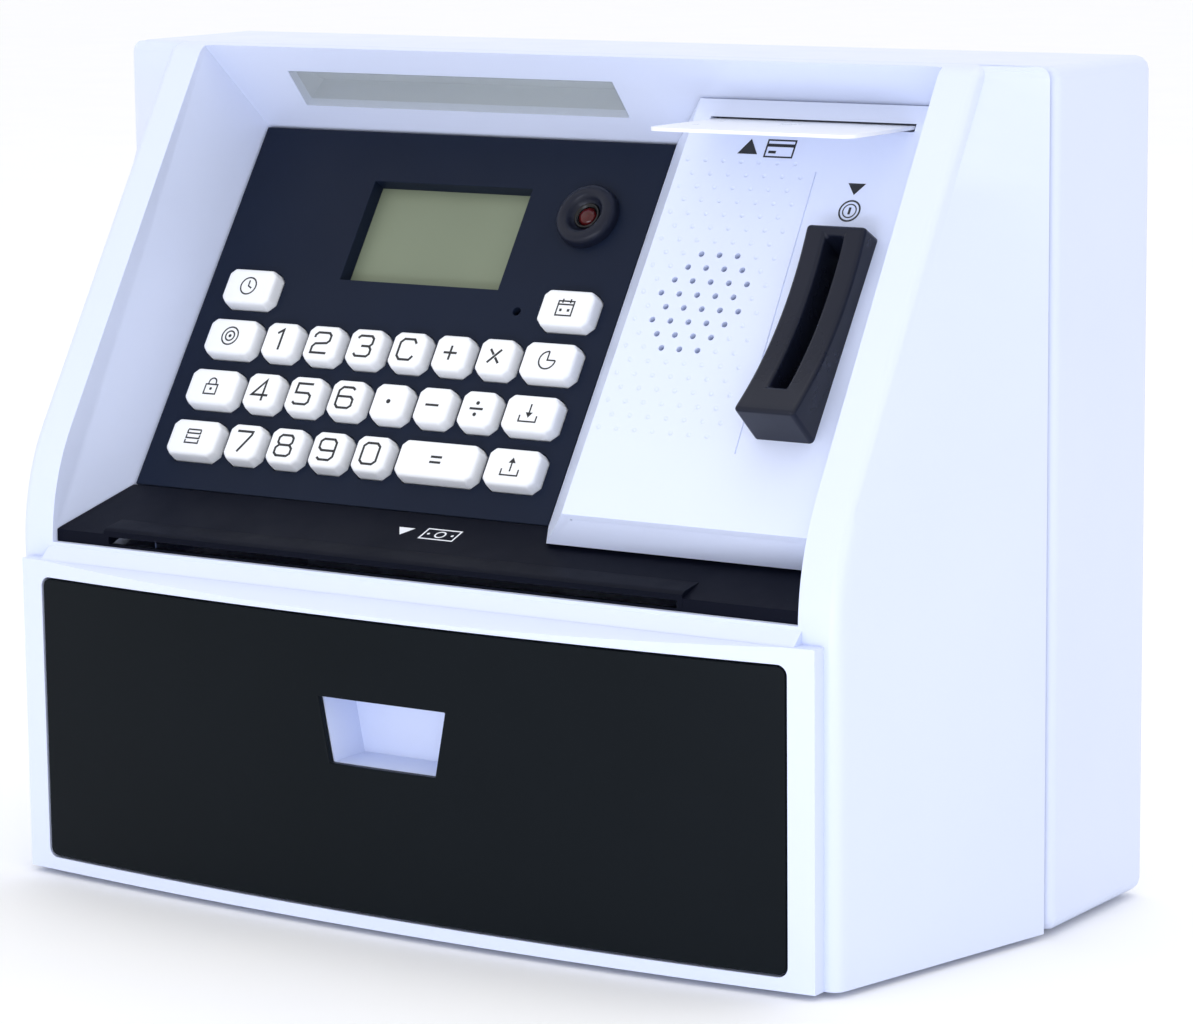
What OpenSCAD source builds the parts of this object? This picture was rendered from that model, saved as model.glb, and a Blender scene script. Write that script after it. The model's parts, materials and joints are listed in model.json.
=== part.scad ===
// Toy cash machine savings bank with a calculator keypad, a display, a camera
// eye, slots for a card, coins and banknotes, and a locking cash drawer.
// X runs to the right, Y to the back and Z up. The origin is the middle of the
// bottom of the whole object. Most modules use "front" coordinates, where y = 0
// is the foremost line of the bowed drawer front; placed() moves them home.

/* [Overall] */
// Width of the rear shell
body_w = 265; // [240:1:300]
// Height of the housing above its feet
body_h = 198.5; // [190:0.5:220]
// Depth from the bowed front to the back wall
body_d = 126; // [118:1:150]
// Wall of both shells
wall = 2.2; // [1.6:0.1:3]
// How far the feet stand below the shells
foot_proud = 1.5; // [1:0.1:3]

/* [Front shell] */
// Width of the front rim, where the sides start to flare
rim_w = 232; // [226:1:246]
// Distance from the bowed front to the rim
rim_y = 10; // [9:0.5:12]
// Distance from the bowed front to the seam between the shells
seam_y = 77.5; // [76:0.5:84]
// Height at which the rim bends back
rim_bend_z = 95; // [93:0.5:100]
// Lean of the sloping part of the rim, from the vertical
rim_lean = 31.5; // [28:0.5:34]
// Radius of the bend in the rim
rim_bend_r = 55; // [40:1:70]
// Radius where the rim runs into the top
rim_top_r = 6; // [4:0.5:8]
// Rounding of the outer corners of the rim
rim_corner_r = 3; // [2:0.5:4]
// Gap between the two shells at the seam
seam_gap = 0.8; // [0.4:0.1:1.2]
// How far the rear shell stands proud of the front one at the seam
seam_step = 1.4; // [0.8:0.1:2]
// Rounding of the edges of the rear shell
edge_r = 3; // [2:0.5:4]

/* [Recess] */
// Width of the recess at the rim
recess_w = 211; // [206:1:216]
// Width of the recess along the sloping panel
panel_w = 200; // [196:1:204]
// Tilt of the sloping panel, from the horizontal
panel_tilt = 56; // [54:0.5:58]
// Length of the sloping panel along its slope
panel_l = 102; // [98:1:106]
// Distance from the bowed front to the foot of the panel
panel_y = 35; // [33:0.5:37]
// Height of the foot of the panel above the shells' bottom
panel_z = 92; // [90:0.5:96]
// Distance from the bowed front to the front edge of the shelf
shelf_y = 11.5; // [11:0.5:13]
// Height of the lower front edge of the shelf above the shells' bottom
shelf_z = 80.9; // [79:0.1:83]
// Height of the shelf's upright front lip
shelf_lip = 3; // [2.5:0.1:4]
// Distance from the bowed front to the front edge of the ceiling
ceiling_y = 75; // [73:0.5:76]
// Depth of the ceiling's front edge below the top
ceiling_drop = 1.5; // [1:0.1:3]

/* [Black panel and display] */
// Thickness of the keypad panel
panel_t = 2.4; // [2:0.1:3]
// Distance from the middle to the keypad panel's right edge
panel_right = 23.3; // [22:0.1:25]
// Clearance of a panel laid into the shell
lay_clear = 0.3; // [0.2:0.05:0.5]
// Left edge of the display window
display_x = -60.4; // [-62:0.1:-59]
// Lower edge of the display window, up the slope
display_s = 60; // [58:0.1:62]
// Width of the display window
display_w = 47.4; // [44:0.1:50]
// Height of the display window
display_h = 27.8; // [26:0.1:30]
// Depth of the display glass below the panel
display_deep = 4; // [3:0.1:5]
// Centre of the camera eye, across
camera_x = 6.1; // [5:0.1:8]
// Centre of the camera eye, up the slope
camera_s = 80.6; // [78:0.1:84]
// Diameter of the camera ring
camera_d = 16.4; // [14:0.1:18]
// Height of the camera ring above the panel
camera_proud = 3.4; // [2:0.1:5]
// Diameter of the microphone hole
mic_d = 2.2; // [1.5:0.1:3]
// Centre of the microphone hole, across
mic_x = -5.5; // [-6.5:0.1:-4.5]
// Centre of the microphone hole, up the slope
mic_s = 54.6; // [53:0.1:56]

/* [Keys] */
// Column pitch of the small keys
key_pitch_x = 12.87; // [12.4:0.01:13.2]
// Row pitch of the keys
key_pitch_s = 14.05; // [13.5:0.01:14.6]
// Middle of the first column of small keys
key_x0 = -69.2; // [-70:0.1:-68]
// Middle of the lowest row of keys
key_s0 = 12.7; // [11:0.1:14]
// Width of a small key
key_w = 10.2; // [9:0.1:11]
// Height of every key along the slope
key_l = 10; // [9:0.1:11]
// Width of a function key
key_wide_w = 15; // [13:0.1:16]
// Width of the equals key
key_equals_w = 23; // [20:0.1:24]
// Middle of the left function keys
key_left_x = -84.6; // [-86:0.1:-84]
// Middle of the right function keys
key_right_x = 10.3; // [9:0.1:12]
// Corner cut of a key
key_cut = 2; // [1:0.1:3]
// Height of a key above the panel
key_proud = 3.4; // [2.5:0.1:4]
// Key travel
key_travel = 1.2; // [0.8:0.1:1.6]
// Clearance round a key in the panel
key_clear = 0.35; // [0.2:0.05:0.5]

/* [Card and coin panel] */
// Height of the white panel above the black one
block_h = 15; // [13:0.5:17]
// How far its left side leans in over that height
block_lean = 13; // [12:0.5:15]
// Thickness of the white panel
block_t = 2.2; // [1.8:0.1:3]
// Pitch of the speaker holes across
hole_pitch_x = 4.87; // [4.5:0.01:5.2]
// Pitch of the speaker holes up the slope
hole_pitch_s = 3.51; // [3.2:0.01:3.8]
// Diameter of a speaker hole
hole_d = 1.5; // [1:0.1:2]
// Middle of the speaker, across
speaker_x = 54.5; // [53:0.1:56]
// Middle of the speaker, up the slope
speaker_s = 53; // [51:0.1:55]
// Diameter of the speaker
speaker_d = 32; // [28:1:34]
// Left edge of the coin bezel
coin_x = 80; // [79:0.1:82]
// Width of the coin bezel
coin_w = 15.5; // [14:0.1:16]
// Lower end of the coin bezel, up the slope
coin_s = 20; // [18:0.5:22]
// Length of the coin bezel
coin_l = 52; // [50:0.5:54]
// Height of the bezel's upper end
coin_high_top = 6.5; // [5:0.1:8]
// Height of the bezel's lower end
coin_high_low = 12; // [10:0.1:13]
// Width of the coin slot
coin_slot_w = 4.6; // [4.4:0.1:5.2]
// Length of the coin slot
coin_slot_l = 40; // [36:0.5:42]

/* [Card] */
// Width of the bank card
card_w = 54; // [50:0.1:54]
// Length of the bank card
card_l = 72; // [66:0.5:73]
// Thickness of the bank card
card_t = 0.8; // [0.7:0.05:1]
// Left edge of the bank card
card_x = 41.6; // [41:0.1:43]
// How far the card stands out of its slot
card_out = 28.6; // [24:0.1:32]
// Height of the card slot up the white panel
card_s = 100.4; // [99:0.1:101.5]
// Clearance round the card
card_clear = 0.5; // [0.3:0.05:0.8]

/* [Banknote slot] */
// Left end of the banknote slot
note_x = -89; // [-92:0.5:-86]
// Length of the banknote slot
note_l = 162.5; // [158:0.5:166]
// Height of the banknote slot
note_h = 1.8; // [1.4:0.1:2.2]

/* [Light window] */
// Left edge of the light window in the ceiling
light_x = -84; // [-88:0.5:-80]
// Width of the light window
light_w = 97; // [90:0.5:100]
// Height of the light window along the ceiling
light_l = 12; // [10:0.5:13]
// Distance of the window from the ceiling's lower edge
light_t0 = 7.4; // [6:0.1:8]
// Depth of the light box
light_deep = 9; // [7:0.5:10]

/* [Drawer] */
// Width of the drawer front
drawer_w = 210; // [200:1:214]
// Height of the drawer front
drawer_h = 69; // [60:0.5:70]
// Height of the drawer front's lower edge above the shells' bottom
drawer_z = 3.6; // [3.4:0.1:6]
// Corner radius of the drawer front
drawer_r = 2; // [1:0.5:4]
// Gap round the drawer front
drawer_gap = 0.5; // [0.3:0.1:0.8]
// Thickness of the black drawer cover
drawer_skin = 2; // [1.5:0.1:3]
// Width of the bowed frame round the drawer
bow_w = 224; // [220:1:228]
// How far the bowed front swells
bow_rise = 6; // [4:0.5:7]
// Height of the bowed frame
bow_h = 77; // [75:0.5:79]
// Wall of the drawer tray
tray_wall = 2; // [1.6:0.1:2.6]
// Length of the drawer tray behind the rim
tray_l = 98; // [90:1:104]
// Travel of the drawer
drawer_travel = 88; // [80:1:92]
// Half width of the finger hole at its top
pull_top = 18; // [16:0.5:20]
// Half width of the finger hole at its bottom
pull_low = 15; // [13:0.5:17]
// Height of the finger hole
pull_h = 15.5; // [14:0.5:17]
// Height of the finger hole's lower edge above the drawer front's
pull_z = 34.7; // [30:0.1:40]
// Depth of the finger pocket
pull_deep = 14; // [12:0.5:16]

/* [Battery bay] */
// Diameter of one battery cell
cell_d = 14.5; // [14:0.1:15]
// Length of one battery cell
cell_l = 50.5; // [50:0.1:51]
// Number of battery cells
cell_n = 3; // [2:1:3]
// Height of the battery door's middle above the shells' bottom
bay_z = 122; // [118:1:128]

/* [Hidden] */
$fn = 48;
eps = 0.01;
white = [0.93, 0.94, 0.97];
black = [0.08, 0.09, 0.11];
grey = [0.6, 0.62, 0.63];
steel = [0.72, 0.72, 0.74];

top_z = body_h;
front_half = rim_w / 2;
seam_half = body_w / 2 - seam_step;
bend_cz = rim_bend_z - rim_bend_r * tan(rim_lean / 2);
rim_top_y = rim_y + (top_z - rim_bend_z) * tan(rim_lean);
top_turn = 90 - rim_lean;
top_tan = rim_top_r * tan(top_turn / 2);

// Front rim line from the bottom to the top, as [y, z] points
bend_steps = 10;
slope_steps = 14;
top_steps = 6;
function bend_point(a) = [rim_y + rim_bend_r * (1 - cos(a)), bend_cz + rim_bend_r * sin(a)];
function top_point(a) = [rim_top_y + top_tan - rim_top_r * sin(a),
    top_z - rim_top_r + rim_top_r * cos(a)];
slope_low = bend_point(rim_lean);
slope_high = top_point(top_turn);
rim_line = concat([[rim_y, 0]],
    [for (i = [0:bend_steps]) bend_point(rim_lean * i / bend_steps)],
    [for (i = [1:slope_steps - 1]) slope_low + (slope_high - slope_low) * i / slope_steps],
    [for (i = [0:top_steps]) top_point(top_turn * (1 - i / top_steps))]);

// Sloping panel
panel_top_y = panel_y + panel_l * cos(panel_tilt);
panel_top_z = panel_z + panel_l * sin(panel_tilt);
ceiling_z = top_z - ceiling_drop;
ceiling_l = norm([panel_top_y - ceiling_y, ceiling_z - panel_top_z]);
ceiling_tilt = atan2(ceiling_z - panel_top_z, panel_top_y - ceiling_y);

bow_r = (pow(bow_w / 2, 2) + pow(bow_rise, 2)) / (2 * bow_rise);
tray_w = drawer_w - 4;
tray_h = drawer_h - 2.4;
tray_end = rim_y + tray_l;
tray_front = rim_y - 1;
tray_floor_z = drawer_z + 1.2;
slot_x = coin_x + coin_w / 2;
slot_s = coin_s + coin_l - 3 - coin_slot_l;
chute_wall = 1.2;
bay_w = cell_l + 9;
bay_h = cell_n * (cell_d + 0.8) + 1;
bay_deep = cell_d + 2.5;
door_lip = 3;
door_t = 2;
card_z = panel_z + card_s * sin(panel_tilt) + block_h * cos(panel_tilt);
card_y = panel_y + card_s * cos(panel_tilt) - block_h * sin(panel_tilt);
mouth_in = 3.5;
mouth_z = top_z - mouth_in;
rib_h = tray_floor_z - 0.3;
boss_r = 3.8;
boss_places = [for (x = [-1, 1], z = [16, 112, 184]) [x * (rim_w / 2 - 1.5), z]];
lock_x = -60;

// ---------------------------------------------------------------- helpers
// Front coordinates to the object's own frame
module placed() {
    translate([0, -body_d / 2, foot_proud]) children();
}
// Local frame of the sloping panel: X across, Y up the slope, Z out of it
module on_panel() {
    translate([0, panel_y, panel_z]) rotate([panel_tilt, 0, 0]) children();
}
// Local frame of the ceiling: X across, Y from the panel to the front, Z up and back
module on_ceiling() {
    translate([0, panel_top_y, panel_top_z]) rotate([180 - ceiling_tilt, 0, 0])
        mirror([0, 0, 1]) children();
}
// A [y, z] outline drawn across the object, x0 to x1
module across(x0, x1, pts) {
    translate([x0, 0, 0]) rotate([90, 0, 90]) linear_extrude(x1 - x0) polygon(pts);
}
// Rectangle with round corners made of true arcs
module round_rect(w, h, r) {
    union() {
        square([w - 2 * r, h], center = true);
        square([w, h - 2 * r], center = true);
        for (x = [-1, 1], y = [-1, 1]) translate([x * (w / 2 - r), y * (h / 2 - r)]) circle(r);
    }
}
// Rectangle with cut corners
module cut_rect(w, h, c) {
    polygon([[-w / 2 + c, -h / 2], [w / 2 - c, -h / 2], [w / 2, -h / 2 + c], [w / 2, h / 2 - c],
        [w / 2 - c, h / 2], [-w / 2 + c, h / 2], [-w / 2, h / 2 - c], [-w / 2, -h / 2 + c]]);
}
// Closed skin through rings that have the same number of points
module skin(rings) {
    n = len(rings[0]);
    m = len(rings);
    polyhedron(points = [for (r = rings, p = r) p],
        faces = concat([[for (i = [n - 1:-1:0]) i]],
            [for (j = [0:m - 2], i = [0:n - 1]) each [
                [j * n + i, (j + 1) * n + (i + 1) % n, (j + 1) * n + i],
                [j * n + i, j * n + (i + 1) % n, (j + 1) * n + (i + 1) % n]]],
            [[for (i = [0:n - 1]) (m - 1) * n + i]]));
}
// How far a rounded edge of radius r draws in, at distance d from the end
function draw_in(r, d) = d >= r ? 0 : r - sqrt(max(0, r * r - (r - d) * (r - d)));

// ---------------------------------------------------------------- shells
// One level of the front shell, inset by t
function front_ring(p, t, back) = let(
    y = p[0] + t, z = p[1],
    c = min(rim_corner_r, (seam_y - p[0]) / 2),
    in = draw_in(edge_r, top_z - z),
    xf = front_half - t - in,
    xs = seam_half - t - in)
    concat([[xs, back, z]],
        [for (a = [0:-30:-90]) [xf - c + c * cos(a), y + c + c * sin(a), z]],
        [for (a = [-90:-30:-180]) [-xf + c + c * cos(a), y + c + c * sin(a), z]],
        [[-xs, back, z]]);
module front_solid() {
    skin([for (p = rim_line) front_ring(p, 0, seam_y - seam_gap / 2)]);
}
module front_hollow() {
    skin(concat([front_ring([rim_y, wall], wall, seam_y + 1)],
        [for (p = rim_line) if (p[1] > wall && p[1] < top_z - wall) front_ring(p, wall, seam_y + 1)],
        [front_ring([rim_top_y - 1, top_z - wall], wall, seam_y + 1)]));
}
// Space of the recess, grown by g into the shell
module recess(g) {
    edge = [ceiling_y + g * sin(ceiling_tilt), ceiling_z + g * cos(ceiling_tilt)];
    hull() {
        across(-recess_w / 2 - g, recess_w / 2 + g, [[shelf_y, shelf_z - g], [-5, shelf_z - g],
            edge + 30 * [-cos(ceiling_tilt), sin(ceiling_tilt)], edge]);
        on_panel() translate([-panel_w / 2 - g, -g - 1, -panel_t - g])
            cube([panel_w + 2 * g, panel_l + 2 * g + 1, 0.1]);
    }
}
// Bowed slab between two radii, up to z1
module bow_slab(w, z0, z1, y_in, y_back) {
    intersection() {
        translate([-w / 2, -1, z0]) cube([w, y_back + 1, z1 - z0]);
        translate([0, bow_r + y_in, z0]) cylinder(r = bow_r, h = z1 - z0, $fn = 180);
    }
}
module drawer_outline(g) {
    translate([0, drawer_z + drawer_h / 2]) round_rect(drawer_w + 2 * g, drawer_h + 2 * g, drawer_r + g);
}
// Upright prism of a front view outline, y0 to y1
module upright(y0, y1) {
    translate([0, y1, 0]) rotate([90, 0, 0]) linear_extrude(y1 - y0) children();
}
// Ribs on the floor that carry the drawer
module ribs(y0, y1) {
    for (x = [-78, 74]) translate([x, y0, wall - eps]) cube([4, y1 - y0, rib_h - wall + eps]);
}
// Room behind the front shell that the recess reaches into
module rear_room() {
    translate([-front_half, seam_y - 1.5, bow_h]) cube([rim_w, 1.5 + seam_gap / 2, mouth_z + 1.5 - bow_h]);
    translate([-front_half, seam_y - 1.5, bow_h]) cube([rim_w, 30, mouth_z - 0.3 - bow_h]);
}
module bosses(y0, y1, r) {
    for (b = boss_places) translate([b[0], y1, b[1]]) rotate([90, 0, 0]) cylinder(r = r, h = y1 - y0);
}
module front_housing() color(white) placed() difference() {
    union() {
        difference() {
            front_solid();
            difference() {
                front_hollow();
                recess(wall);
                bosses(rim_y, seam_y + 2, boss_r);
                ribs(rim_y + 1, seam_y + 2);
            }
        }
        intersection() {
            rear_room();
            recess(wall);
        }
        // Bowed frame round the drawer, with a sloping top edge
        difference() {
            bow_slab(bow_w, 0, bow_h, 0, rim_y + 1);
            across(-bow_w, bow_w, [[-1, bow_h - 3.5], [-1, bow_h + 1], [7, bow_h + 1]]);
        }
        across(-recess_w / 2 - 1, recess_w / 2 + 1, [[6, bow_h - 0.5], [shelf_y - 0.5, shelf_z + eps],
            [shelf_y + wall, shelf_z + eps], [shelf_y + wall, bow_h - 3]]);
    }
    recess(0);
    upright(-1, rim_y + wall + 1) drawer_outline(drawer_gap);
    // Openings in the recess floor behind the panels, and below the banknote slot
    on_panel() translate([-panel_w / 2 + 3, 3, -8]) cube([panel_right + panel_w / 2 - 5, panel_l - 6, 8]);
    on_panel() translate([panel_right + 2, 3, -8]) cube([panel_w / 2 - panel_right - 5, panel_l - 6, 8]);
    translate([note_x, shelf_y + 1.6, shelf_z - 12]) cube([note_l, 16, 20]);
    // Light window and card opening in the ceiling
    on_ceiling() translate([light_x, light_t0, -1]) cube([light_w, light_l, wall + 3]);
    translate([card_x - 3, card_y, card_z - 4]) cube([card_w + 6, 30, 8]);
    bosses(seam_y - 9, seam_y + 1, 1.2);
}
// Rear shell, as rings along Y
function rear_ring(y, t, low) = let(w = body_w / 2 - t, z0 = low, z1 = top_z - t, r = edge_r)
    [for (q = [[w - r, z0 + r, -90], [w - r, z1 - r, 0], [-w + r, z1 - r, 90], [-w + r, z0 + r, 180]],
        a = [0:30:90]) [q[0] + r * cos(q[2] + a), y, q[1] + r * sin(q[2] + a)]];
module rear_solid() {
    y0 = seam_y + seam_gap / 2;
    turns = [for (f = [0:0.25:1]) [edge_r * (1 - cos(90 * f)), edge_r * (1 - sin(90 * f))]];
    skin([for (q = turns) rear_ring(y0 + q[0], q[1], min(q[1], 1)),
        for (i = [4:-1:0]) rear_ring(body_d - turns[i][0], turns[i][1], min(turns[i][1], 1))]);
}
module rear_hollow() {
    skin([rear_ring(seam_y - 1, mouth_in, wall), rear_ring(seam_y + edge_r + 1, mouth_in, wall),
        rear_ring(seam_y + edge_r + 3, wall, wall), rear_ring(body_d - wall, wall, wall)]);
}
module bay_cut(w, h, y0, y1) {
    translate([-w / 2, y0, bay_z - h / 2]) cube([w, y1 - y0, h]);
}
module rear_housing() color(white) placed() difference() {
    union() {
        difference() {
            rear_solid();
            rear_hollow();
        }
        bosses(seam_y + seam_gap / 2, body_d - 1, boss_r);
        ribs(seam_y + seam_gap / 2, body_d - wall);
        bay_cut(bay_w + 2 * wall, bay_h + 2 * wall, body_d - bay_deep - door_t - wall, body_d - 0.5);
    }
    bay_cut(bay_w, bay_h, body_d - bay_deep - door_t, body_d - door_t + eps);
    bay_cut(bay_w + 2 * door_lip, bay_h + 2 * door_lip, body_d - door_t, body_d + 1);
    bosses(seam_y, body_d + 1, 1.7);
    bosses(seam_y + 8, body_d + 1, 3.1);
}
module battery_door() color(white) placed() difference() {
    bay_cut(bay_w + 2 * door_lip - 2 * lay_clear, bay_h + 2 * door_lip - 2 * lay_clear,
        body_d - door_t, body_d);
    // Finger grooves
    for (i = [-2:2]) translate([i * 5 - 1, body_d - 0.6, bay_z - bay_h / 2 + 2]) cube([2, 1, 8]);
}
module batteries() color([0.2, 0.35, 0.3]) placed() for (i = [0:cell_n - 1])
    translate([-cell_l / 2, body_d - door_t - bay_deep / 2 - 0.2,
        bay_z + (i - (cell_n - 1) / 2) * (cell_d + 0.8)]) rotate([0, 90, 0]) {
        cylinder(d = cell_d, h = cell_l - 1.5);
        translate([0, 0, cell_l - 1.6]) cylinder(d = 5.4, h = 1.6);
    }
contact_t = 0.5;
module battery_contacts() color(steel) placed() for (x = [0, 1], i = [0:cell_n - 1])
    mirror([x, 0, 0]) translate([bay_w / 2 - contact_t, body_d - door_t - bay_deep / 2 - 0.2,
        bay_z + (i - (cell_n - 1) / 2) * (cell_d + 0.8)]) {
        translate([0, -4.5, -4.5]) cube([contact_t, 9, 9]);
        rotate([0, -90, 0]) cylinder(d1 = 7, d2 = 4, h = (bay_w - cell_l) / 2 - contact_t);
    }
module rubber_feet() color(black) placed() for (x = [-1, 1], y = [26, body_d - 18])
    translate([x * (rim_w / 2 - 18), y, -foot_proud]) cylinder(d = 12, h = foot_proud);
module screw(len, d, head) {
    rotate([90, 0, 0]) {
        cylinder(d = d, h = len);
        translate([0, 0, -2.2]) difference() {
            cylinder(d = head, h = 2.2);
            for (a = [0, 90]) rotate(a) translate([-head / 3, -0.4, -1]) cube([head / 1.5, 0.8, 2]);
        }
    }
}
module housing_screws() color(steel) placed()
    for (b = boss_places) translate([b[0], seam_y + 8, b[1]]) screw(16, 2.3, 5.6);

// ---------------------------------------------------------------- keypad panel
small_keys = [["key_7", 0, 0], ["key_8", 1, 0], ["key_9", 2, 0], ["key_0", 3, 0],
    ["key_4", 0, 1], ["key_5", 1, 1], ["key_6", 2, 1], ["key_point", 3, 1],
    ["key_minus", 4, 1], ["key_divide", 5, 1], ["key_1", 0, 2], ["key_2", 1, 2],
    ["key_3", 2, 2], ["key_clear", 3, 2], ["key_plus", 4, 2], ["key_times", 5, 2]];
left_keys = ["key_balance", "key_password", "key_goal", "key_clock"];
right_keys = ["key_withdraw", "key_deposit", "key_shortfall", "key_days"];
equals_x = key_x0 + 4.5 * key_pitch_x;
function key_s(row) = key_s0 + row * key_pitch_s;
// Every key as [name, x, s, width]
keys = concat([for (k = small_keys) [k[0], key_x0 + k[1] * key_pitch_x, key_s(k[2]), key_w]],
    [for (i = [0:3]) [left_keys[i], key_left_x, key_s(i), key_wide_w]],
    [for (i = [0:3]) [right_keys[i], key_right_x, key_s(i), key_wide_w]],
    [["key_equals", equals_x, key_s(0), key_equals_w]]);
module key_outline(w, g) {
    cut_rect(w + 2 * g, key_l + 2 * g, key_cut);
}
flange_t = 0.8;
flange_w = 0.8;
key_play = 0.1;
key_back = -panel_t - key_play - flange_t;
// One key with its retaining flange behind the panel
module key(name) color(white) placed() on_panel() for (k = keys) if (k[0] == name)
    translate([k[1], k[2], key_back]) {
        linear_extrude(key_proud - key_back) key_outline(k[3], 0);
        linear_extrude(flange_t) key_outline(k[3], flange_w);
    }

module key_1() key("key_1");
module key_2() key("key_2");
module key_3() key("key_3");
module key_4() key("key_4");
module key_5() key("key_5");
module key_6() key("key_6");
module key_7() key("key_7");
module key_8() key("key_8");
module key_9() key("key_9");
module key_0() key("key_0");
module key_clear() key("key_clear");
module key_point() key("key_point");
module key_plus() key("key_plus");
module key_minus() key("key_minus");
module key_times() key("key_times");
module key_divide() key("key_divide");
module key_equals() key("key_equals");
module key_clock() key("key_clock");
module key_goal() key("key_goal");
module key_password() key("key_password");
module key_balance() key("key_balance");
module key_days() key("key_days");
module key_shortfall() key("key_shortfall");
module key_deposit() key("key_deposit");
module key_withdraw() key("key_withdraw");

module keypad_panel() color(black) placed() on_panel() difference() {
    union() {
        translate([-panel_w / 2 + lay_clear, lay_clear, -panel_t])
            cube([panel_w / 2 + panel_right - lay_clear, panel_l - 2 * lay_clear, panel_t]);
        // Wall round the sunk display
        translate([display_x - 1.6, display_s - 1.6, -display_deep])
            cube([display_w + 3.2, display_h + 3.2, display_deep - 1]);
        // Posts that carry the main board
        for (p = board_holes) translate([p[0], p[1], board_n + board_t])
            cylinder(r = 1.7, h = -panel_t - board_n - board_t + eps);
    }
    for (p = board_holes) translate([p[0], p[1], board_n]) cylinder(d = 2.2, h = -board_n - panel_t);
    for (k = keys) translate([k[1], k[2], -panel_t - 1]) linear_extrude(panel_t + 2)
        key_outline(k[3], key_clear);
    translate([display_x, display_s, -display_deep - 1]) cube([display_w, display_h, display_deep + 2]);
    translate([camera_x, camera_s, -panel_t - 1]) cylinder(d = camera_d - 3, h = panel_t + 2);
    translate([mic_x, mic_s, -panel_t - 1]) cylinder(d = mic_d, h = panel_t + 2);
}
dome_h = 0.6;
membrane_t = 0.8;
membrane_n = key_back - key_travel - 0.3 - dome_h;
module keypad_membrane() color([0.75, 0.76, 0.78]) placed() on_panel() {
    translate([key_left_x - 5.5, 5, membrane_n - membrane_t])
        cube([key_right_x - key_left_x + 11, 56.5, membrane_t]);
    for (k = keys) translate([k[1], k[2], membrane_n - eps]) cylinder(d1 = 7, d2 = 4, h = dome_h + eps);
}
board_t = 1.6;
board_n = membrane_n - membrane_t - board_t;
module main_board() color([0.1, 0.35, 0.2]) placed() on_panel() difference() {
    union() {
        translate([-98, 5, board_n]) cube([118, 65, board_t]);
        // Socket, chip and connector
        translate([-70, 58, board_n - 3]) cube([20, 10, 3 + eps]);
        translate([-20, 20, board_n - 1.5]) cube([12, 12, 1.5 + eps]);
        translate([-66, 14, board_n - 2]) cube([30, 8, 2 + eps]);
    }
    for (p = board_holes) translate([p[0], p[1], board_n - 4]) cylinder(d = 2.6, h = 8);
}
board_holes = [[-95, key_s0 + key_pitch_s / 2], [-78, 65], [13, 65]];
module board_screws() color(steel) placed() on_panel() for (p = board_holes)
    translate([p[0], p[1], board_n]) {
        translate([0, 0, -1.6]) cylinder(d = 4.6, h = 1.6);
        translate([0, 0, -eps]) cylinder(d = 2.1, h = -board_n - panel_t - 0.2);
    }
module display_lens() color([0.55, 0.6, 0.52]) placed() on_panel()
    translate([display_x - 1.4, display_s - 1.4, -display_deep - 1.2 - eps])
        cube([display_w + 2.8, display_h + 2.8, 1.2]);
display_back = -display_deep - 1.2 - 2 * eps;
module display_module() color(grey) placed() on_panel()
    translate([display_x - 3, display_s + 12, display_back - 1.5]) cube([display_w + 6, display_h - 8, 1.5]);
module camera_ring() color(black) placed() on_panel() translate([camera_x, camera_s, 0]) difference() {
    union() {
        cylinder(d = camera_d, h = camera_proud);
        translate([0, 0, -panel_t]) cylinder(d = camera_d - 3.4, h = panel_t + eps);
    }
    translate([0, 0, -panel_t - 1]) cylinder(d = camera_d - 9, h = panel_t + camera_proud + 2);
    translate([0, 0, camera_proud - 2]) cylinder(d1 = camera_d - 9, d2 = camera_d - 3, h = 2 + eps);
}
module camera_lens() color([0.3, 0.02, 0.02]) placed() on_panel() translate([camera_x, camera_s, -1])
    difference() {
        sphere(d = camera_d - 9.4);
        translate([-10, -10, -20]) cube([20, 20, 20]);
    }
module camera_module() color([0.1, 0.35, 0.2]) placed() on_panel()
    translate([camera_x, camera_s, -panel_t - 4]) {
        translate([-6, -6, 0]) cube([12, 12, 1.2]);
        translate([0, 0, 1.2 - eps]) cylinder(d = camera_d - 9.4, h = panel_t + 4 - 1.2 - 1);
    }

// ---------------------------------------------------------------- ceiling light
module window_lens() color([0.62, 0.66, 0.66]) placed() on_ceiling()
    translate([light_x + lay_clear, light_t0 + lay_clear, 0.3])
        cube([light_w - 2 * lay_clear, light_l - 2 * lay_clear, 1]);
light_wall = 1;
light_lift = 1;
light_shallow = 2;
// Side outline of the light box as [t, n], grown by g: deep at the panel end
function light_side(g) = let(n0 = wall + light_lift - light_wall + g) [[light_t0 - g, n0],
    [light_t0 + light_l + g, n0], [light_t0 + light_l + g, wall + light_shallow - light_wall + g],
    [light_t0 - g, wall + light_deep - light_wall + g]];
module light_prism(g) {
    translate([light_x - g, 0, 0]) rotate([90, 0, 90]) linear_extrude(light_w + 2 * g) polygon(light_side(g));
}
module light_box() color(grey) placed() on_ceiling() difference() {
    light_prism(light_wall);
    light_prism(0);
}
// Strip on the right end wall of the light box, shining to the left
module led_strip() color([0.95, 0.93, 0.8]) placed() on_ceiling()
    translate([light_x + light_w - 0.9, light_t0 + 0.3, wall + light_lift + 0.2]) {
        cube([0.9, 6, 3]);
        for (t = [0.7, 3.5]) translate([-1, t, 0.5]) cube([1 + eps, 1.8, 2]);
    }

// ---------------------------------------------------------------- card and coin panel
block_x0 = panel_right + lay_clear;
block_x1 = panel_w / 2 - lay_clear;
block_low = -2.6;
block_foot = [-6.6, 6];
block_top = panel_l - lay_clear;
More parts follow.
